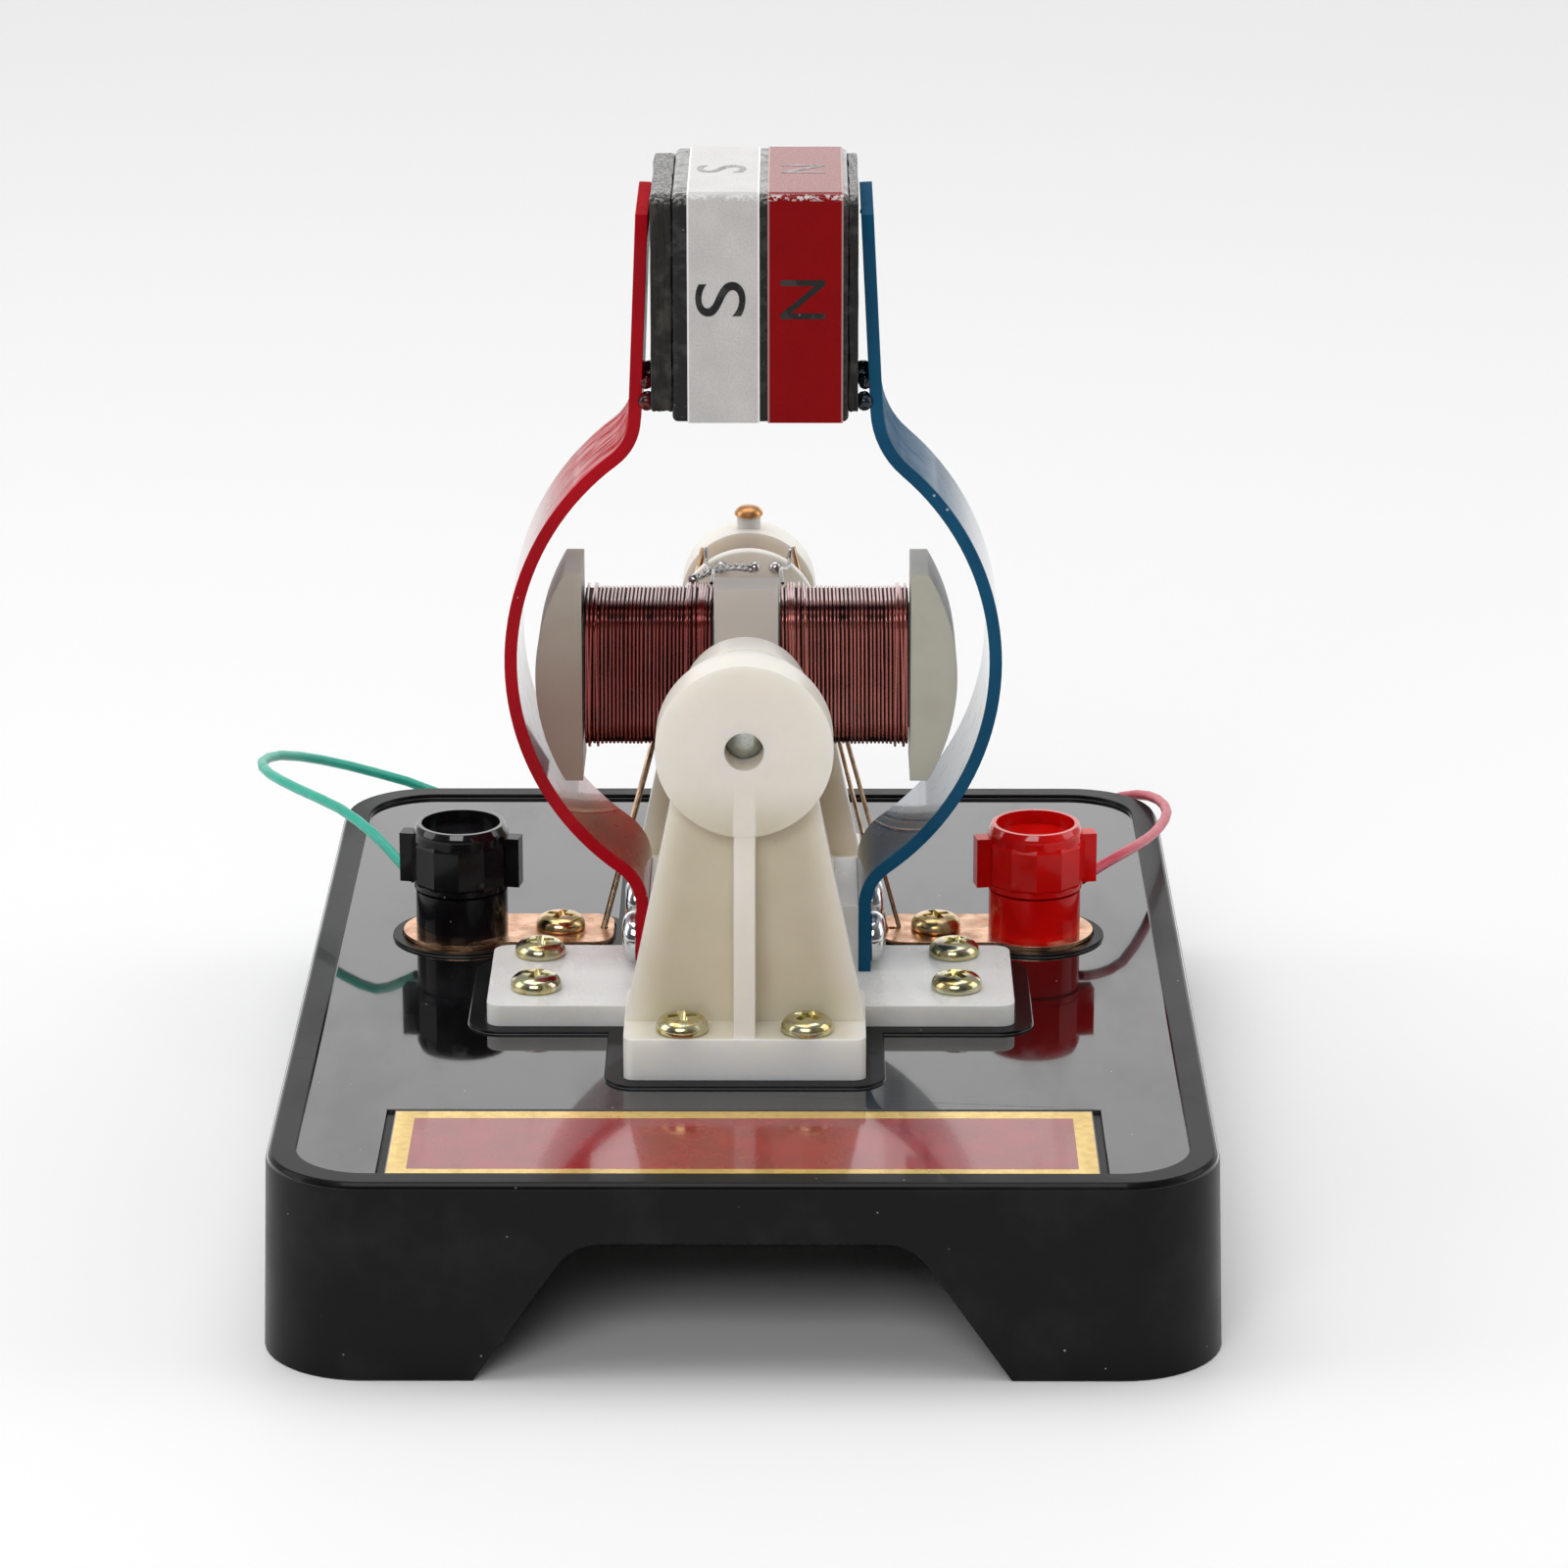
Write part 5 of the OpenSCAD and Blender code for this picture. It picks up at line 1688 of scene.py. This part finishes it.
@dataclass
class Poles:
    """The bent pole strips, their bolts and nuts, and the magnet with its labels.

    Each lump of glue is a place along Y, a height above the block's foot and a radius.
    """

    edge: float = 0.3
    bend: float = 40.0
    block_edge: float = 0.7
    bolt_y: tuple[float, float] = (-5.9, 7.9)
    shank: float = 7.6
    glue: tuple[Point, ...] = (
        (-9.0, 1.6, 1.15), (-8.6, 3.9, 0.8), (-6.2, 1.3, 1.0), (3.0, 1.5, 0.95), (9.4, 1.4, 1.15),
        (5.0, 23.0, 0.6),
    )
    lump_jitter: float = 0.14
    ragged: float = 0.22
    label_bend: float = 0.8
    label_thick: float = 0.2
    letter: float = 8.4
    ink_depth: float = 0.03
    screws: ScrewMaker = field(default_factory=ScrewMaker)

    def build(self) -> None:
        """Builds the pole group."""
        for colour, slot in (("red", Slot.RED_STRIP), ("blue", Slot.BLUE_STRIP)):
            node, name = f"{colour}_pole_strip", f"{colour}_strip_enamel"
            Bench.reuse(node, name, slot, self.edge, sharp=self.bend, crease=self.bend)
        low, high = box_mm("pole_bolts")
        z = (low.z + high.z) / 2
        heads = {-1: low.x + self.screws.height, 1: high.x - self.screws.height}
        bolts = [sideways_at(heads[sx], y, z, sx, 15.0 + 40.0 * k)
                 for k, (sx, y) in enumerate((s, y) for s in (-1, 1) for y in self.bolt_y)]
        self.screws.set("pole_pan_bolts", bolts, Slot.CHROME, ["pole_bolts"], self.shank)
        dress("pole_nuts", Slot.NUT)
        self._magnet()

    def _magnet(self) -> None:
        """Models the block, its side plates, glue, labels and letters."""
        Bench.reuse("magnet_block", "magnet_lacquer_block", Slot.MAGNET, self.block_edge, 4)
        for side in ("left", "right"):
            self._side_plate(side)
        self._glue()
        for word, slot, ink, wide, tall in (
            ("south", Slot.WHITE_LABEL, "S", 1.36, 1.06), ("north", Slot.RED_LABEL, "N", 0.93, 0.97)
        ):
            self._label(word, slot)
            self._letters(word, ink, wide, tall)

    def _side_plate(self, side: str) -> None:
        """Roughens one dark side plate: its rim is ragged, as broken by hand.

        Args:
            side: left or right.
        """
        low, high = box_mm(f"{side}_magnet_plate")
        plate = Bench.block(f"{side}_side_card", low, high)
        Bench.choose(plate, "FACE", lambda c, n: True)
        bpy.ops.mesh.subdivide(number_cuts=14)
        mid = (low + high) / 2
        rim = 0.5 * min(high.y - low.y, high.z - low.z) - 0.2
        Bench.choose(plate, "FACE", lambda c, n: max(abs(c.y - mid.y), abs(c.z - mid.z)) > rim)
        bpy.ops.transform.resize(value=(1.0, 0.985, 0.985), center_override=tuple(mid * MM))
        bpy.ops.transform.vertex_random(offset=self.ragged * MM, seed=3 if side == "left" else 8)
        Bench.leave()
        Bench.modify(plate, "SUBSURF", levels=1, render_levels=1)
        Bench.deliver(plate, Slot.SIDE_PLATE, "frame", [f"{side}_magnet_plate"], 60.0)

    def _glue(self) -> None:
        """Lumps of dark glue in the wedges between the side plates and the strips."""
        lumps = []
        z = box_mm("magnet_block")[0].z
        left, right = box_mm("left_magnet_plate")[0].x, box_mm("right_magnet_plate")[1].x
        for sx, x in ((-1, left - 0.6), (1, right + 0.8)):
            for k, (y, up, size) in enumerate(self.glue):
                place = (x + 0.1 * sx * (k % 2), y, z + up)
                lump = Bench.lump(f"glue_lump_{sx}_{k}", size, place, self.lump_jitter, 5 + k)
                lumps.append(lump)
        Bench.deliver(Bench.join("glue_lumps", lumps), Slot.GLUE, "frame", ["glue_blobs"], 80.0)

    def _label(self, word: str, slot: Slot) -> None:
        """Folds one label over the block's rounded front and back edges.

        Args:
            word: the label's side.
            slot: its finish.
        """
        low, high = box_mm(f"{word}_label")
        label = Bench.block(f"{word}_folded_label", low, high)
        Bench.round_off(
            label, lambda c, n: abs(n.x) > 0.9 and c.z > high.z - 0.1, self.label_bend, 5
        )
        Bench.choose(label, "FACE", lambda c, n: abs(n.x) > 0.9 or n.z < -0.9)
        bpy.ops.mesh.delete(type="FACE")
        Bench.leave()
        Bench.modify(label, "SOLIDIFY", thickness=self.label_thick * MM, offset=-1.0)
        Bench.deliver(label, slot, "frame", [f"{word}_label"], 50.0)

    def _letters(self, word: str, ink: str, wide: float, tall: float) -> None:
        """Prints one pole letter on the front, the top and the back of its label.

        Args:
            word: the label's side.
            ink: the letter.
            wide: how far it is stretched across.
            tall: how far it is stretched upwards.
        """
        low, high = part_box(f"{word}_label")
        x = (low.x + high.x) / 2
        z = low.z + 0.54 * (high.z - low.z)
        y = low.y + 0.5 * (high.y - low.y)
        lie = Matrix.Rotation(math.pi / 2, 4, "Z")
        stand = Matrix.Rotation(math.pi / 2, 4, "X") @ lie
        places = (
            Matrix.Translation((x, low.y, z)) @ stand,
            Matrix.Translation((x, y, high.z)) @ lie,
            Matrix.Translation((x, high.y, z)) @ Matrix.Rotation(math.pi, 4, "Z") @ stand,
        )
        made = []
        for k, place in enumerate(places):
            Bench.clear()
            bpy.ops.object.text_add()
            text = bpy.context.object
            text.data.body = ink
            text.data.align_x, text.data.align_y = "CENTER", "CENTER"
            text.data.size = self.letter * MM
            text.data.extrude = self.ink_depth * MM
            bpy.ops.object.convert(target="MESH")
            letter = bpy.context.object
            letter.name = f"{word}_letter_{k}"
            letter.data.transform(place @ Matrix.Diagonal((wide, tall, 1.0, 1.0)))
            made.append(letter)
        Bench.deliver(Bench.join(f"{word}_letters", made), Slot.MAGNET, "frame")


@dataclass
class Armature:
    """Everything that turns on the shaft.

    Each stray turn is its first and last place along the coil and its height above it; each drop
    of solder is its place across, along and above the axis, and its radius.
    """

    dome: Stations = ((1.0, 0.0), (1.7, 0.12), (2.2, 0.42), (2.4, 0.8))
    turns: int = 32
    wire: float = 0.175
    inner: float = 4.25
    outer: float = 20.85
    half_h: float = 9.5
    half_d: float = 6.4
    corner: float = 2.1
    steps: int = 36
    sag: float = 0.75
    sag_from: float = 0.88
    core_gap: float = 0.34
    strays: tuple[Point, ...] = ((0.4, 3.4, 0.30), (1.2, 2.2, 0.34), (14.6, 16.2, 0.24))
    tail_wire: float = 0.24
    twist: float = 0.3
    drop_jitter: float = 0.1
    solder: tuple[tuple[float, ...], ...] = (
        (-7.0, 8.6, 9.0, 0.75), (0.9, 15.8, 8.6, 0.8), (3.6, 20.8, 7.2, 0.9), (-3.6, 20.8, 7.2, 0.9)
    )

    def build(self) -> None:
        """Builds the armature group."""
        self._shaft()
        for node, name, slot, width in (
            ("armature_former", "bobbin_former", Slot.FORMER, 0.4),
            ("front_hub", "front_spacer_hub", Slot.HUB, 0.35),
            ("commutator_hub", "commutator_body", Slot.HUB, 0.3),
            ("upper_segment", "upper_copper_segment", Slot.SEGMENT, 0.15),
            ("lower_segment", "lower_copper_segment", Slot.SEGMENT, 0.15),
        ):
            Bench.reuse(node, name, slot, width, body="armature")
        dress("iron_core", Slot.IRON)
        for side, sign in (("left", -1), ("right", 1)):
            self._winding(side, sign)
        self._tails()

    def _shaft(self) -> None:
        """Turns the shaft with its worn, domed ends."""
        low, high = box_mm("shaft")
        stations = [(r, low.y + d) for r, d in self.dome]
        stations += [(r, high.y - d) for r, d in reversed(self.dome)]
        shaft = Bench.turned("steel_shaft", stations, (0.0, 0.0, AXIS_H), Axis.Y, 48)
        Bench.deliver(shaft, Slot.SHAFT, "armature", ["shaft"])

    def _loop(self, angle: float, grow: float) -> tuple[float, float]:
        """A point of a rounded rectangle round the core.

        Args:
            angle: where round the loop, in turns.
            grow: how far outside the core.

        Returns:
            The place along Y and Z from the axis.
        """
        hd, hh, r = self.half_d - self.wire, self.half_h - self.wire, self.corner
        straight = (2 * (hh - r), 2 * (hd - r))
        arc = math.pi / 2 * r
        total = 2 * sum(straight) + 4 * arc
        s = (angle % 1.0) * total
        y, z, heading = hd, -(hh - r), 90.0
        for k in range(4):
            run = straight[k % 2]
            way = math.radians(heading)
            cos, sin = math.cos(way), math.sin(way)
            if s <= run:
                return y + s * cos + grow * sin, z + s * sin - grow * cos
            s -= run
            y, z = y + run * cos, z + run * sin
            cy, cz = y - r * sin, z + r * cos
            if s <= arc:
                t = way - math.pi / 2 + s / r
                return cy + (r + grow) * math.cos(t), cz + (r + grow) * math.sin(t)
            s -= arc
            y, z = cy + r * cos, cz + r * sin
            heading += 90.0
        return y, z

    def _winding(self, side: str, sign: int) -> None:
        """Winds one coil: a close outer layer, a few crossing turns and the mass beneath.

        Args:
            side: left or right.
            sign: -1 for the left and 1 for the right.
        """
        steps, start = self.steps, self.inner + self.wire
        span = self.outer - self.wire - start
        main = []
        for k in range(self.turns * steps + 1):
            share = k / (self.turns * steps)
            wave = 0.03 * math.sin(37.0 * share) + 0.02 * math.sin(91.0 * share + 1.0)
            swell = 0.03 * math.sin(23.0 * share) + 0.02 * math.sin(140.0 * share) - 0.03
            y, z = self._loop(k / steps, swell)
            if sign < 0 and share > self.sag_from:
                drop = min(1.0, (share - self.sag_from) / 0.05)
                z -= self.sag * drop * max(0.0, z / self.half_h)
            x = start + span * share + wave * (0.2 < share < 0.8)
            main.append((sign * x, y, z + AXIS_H))
        runs = [main]
        for first, last, lift in self.strays:
            run = []
            for k in range(3 * steps):
                share = k / (3 * steps)
                lean = 0.7 * math.sin(math.tau * share * 1.5 + first)
                y, z = self._loop(k / steps + 0.13, lift)
                x = start + first + (last - first) * share + lean * 0.5
                run.append((sign * max(start, x), y, z + AXIS_H))
            runs.append(run)
        wires = Bench.tube(f"{side}_wire_layer", runs, self.wire, 2)
        x0, x1 = sorted((sign * self.inner, sign * self.outer))
        deep, high = self.half_d - self.core_gap, self.half_h - self.core_gap
        core = Bench.block(
            f"{side}_wire_mass", (x0 + 0.1, -deep, AXIS_H - high), (x1 - 0.1, deep, AXIS_H + high)
        )
        Bench.round_off(core, lambda c, n: abs(n.x) > 0.9, 2.4, 5)
        piece = Bench.join(f"{side}_enamel_coil", [wires, core])
        Bench.deliver(piece, Slot.WIRE, "armature", [f"{side}_winding"], 50.0, False)

    def _tails(self) -> None:
        """Twists the coil ends together and leads them to the disc, with solder on them."""
        runs = []
        for k in range(3):
            run = []
            for i in range(22):
                t = i / 21
                a = math.tau * (3.2 * t + k / 3)
                rise = 8.9 + 0.9 * math.sin(math.pi * t) - 0.6 * t + 0.25 * math.sin(a)
                x = -7.2 + 8.0 * t + self.twist * math.cos(a)
                y = 8.4 + 7.5 * t + self.twist * math.sin(a)
                run.append((x, y, AXIS_H + rise))
            runs.append(run)
        for sx, lift in ((-1, 0.0), (1, 0.4)):
            bends = ((4.6, 5.2, 9.4), (4.4, 9.0, 9.8 + lift), (5.0, 15.0, 8.6), (5.4, 20.6, 7.6),
                     (5.6, 21.4, 9.6), (5.3, 22.4, 8.0))
            runs.append(smooth_route([(sx * x, y, AXIS_H + dz) for x, y, dz in bends], 5))
        made = [Bench.tube("tail_wires", runs, self.tail_wire, 2)]
        for k, (x, y, dz, size) in enumerate(self.solder):
            place = (x, y, AXIS_H + dz)
            made.append(Bench.lump(f"solder_{k}", size, place, self.drop_jitter, k))
        tails = Bench.join("soldered_tails", made)
        Bench.deliver(tails, Slot.TAILS, "armature", ["coil_tails"], 60.0)


@dataclass
class Terminals:
    """The brushes and the screw terminals, whose caps have a many-sided grip between the wings."""

    post_edge: float = 0.3
    cap_edge: float = 0.35
    ring_edge: float = 0.2
    grip: Stations = (
        (5.6, 31.9), (6.45, 32.2), (6.62, 32.6), (6.62, 37.7), (6.4, 38.2), (5.6, 38.4)
    )
    facets: int = 12
    single_wire: float = 0.42
    paired_wire: float = 0.3
    pair_gap: float = 0.6

    def build(self) -> None:
        """Builds the terminal group."""
        for side, colour, slot, x in (
            ("left", "black", Slot.BLACK_POST, -POST_X), ("right", "red", Slot.RED_POST, POST_X)
        ):
            Bench.reuse(f"{colour}_post", f"{colour}_post_moulding", slot, self.post_edge)
            body = f"{colour}_cap"
            shell = Bench.soften(body, f"{body}_shell", self.cap_edge)
            grip = Bench.turned(f"{body}_grip", self.grip, (x, POST_Y, 0.0), sides=self.facets)
            Bench.deliver(Bench.join(f"{body}_moulding", [shell, grip]), slot, body, [body], 24.0)
            ring = f"{body}_insert"
            Bench.reuse(ring, f"{body}_ring", Slot.BRASS, self.ring_edge, 2, ring)
            dress(f"{side}_stud", Slot.BRASS)
        dress("stud_nuts", Slot.NUT)
        self._brushes()

    def _brushes(self) -> None:
        """Bends the springy brush wires: one on the left, a pair on the right."""
        for side, sign in (("left", -1), ("right", 1)):
            low, high = box_mm(f"{side}_brush")
            outer = max(abs(low.x), abs(high.x)) - 0.5
            inner = min(abs(low.x), abs(high.x)) + 0.5
            foot = Vector((sign * outer, POST_Y, low.z))
            tip = Vector((sign * inner, high.y - 0.5, high.z - 0.1))
            gaps, radius = (0.0,), self.single_wire
            if sign > 0:
                gaps, radius = (-self.pair_gap, self.pair_gap), self.paired_wire
            runs = []
            for g in gaps:
                bends = ((foot, (g * 1.5, g, 0)), (foot, (g * 1.4, g, 1.2)),
                         (foot.lerp(tip, 0.5), (g * 0.8, g, 0.3)), (tip, (0, g * 0.7, 0)))
                runs.append(smooth_route([tuple(spot + Vector(off)) for spot, off in bends], 6))
            wire = Bench.tube(f"{side}_brush_wire", runs, radius, 3)
            Bench.deliver(wire, Slot.BRUSH, "frame", [f"{side}_brush"])


# ---------------------------------------------------------------------------
# Assembly


def save_sizes() -> None:
    """Brings the view layer up to date."""
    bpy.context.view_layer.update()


def main() -> None:
    """Builds the studio, the leads and every sub-assembly in order."""
    logging.basicConfig(level=logging.INFO, format="%(name)s %(message)s")
    Studio().build()
    Lead("green", GREEN_ROUTE, 1, Slot.GREEN_LEAD).build()
    Lead("red", RED_ROUTE, -1, Slot.RED_LEAD).build()
    screws = ScrewMaker()
    Base().build()
    Stands(screws=screws).build()
    Poles(screws=screws).build()
    Armature().build()
    Terminals().build()
    screws.discard()
    save_sizes()


if __name__ == "__main__":
    main()
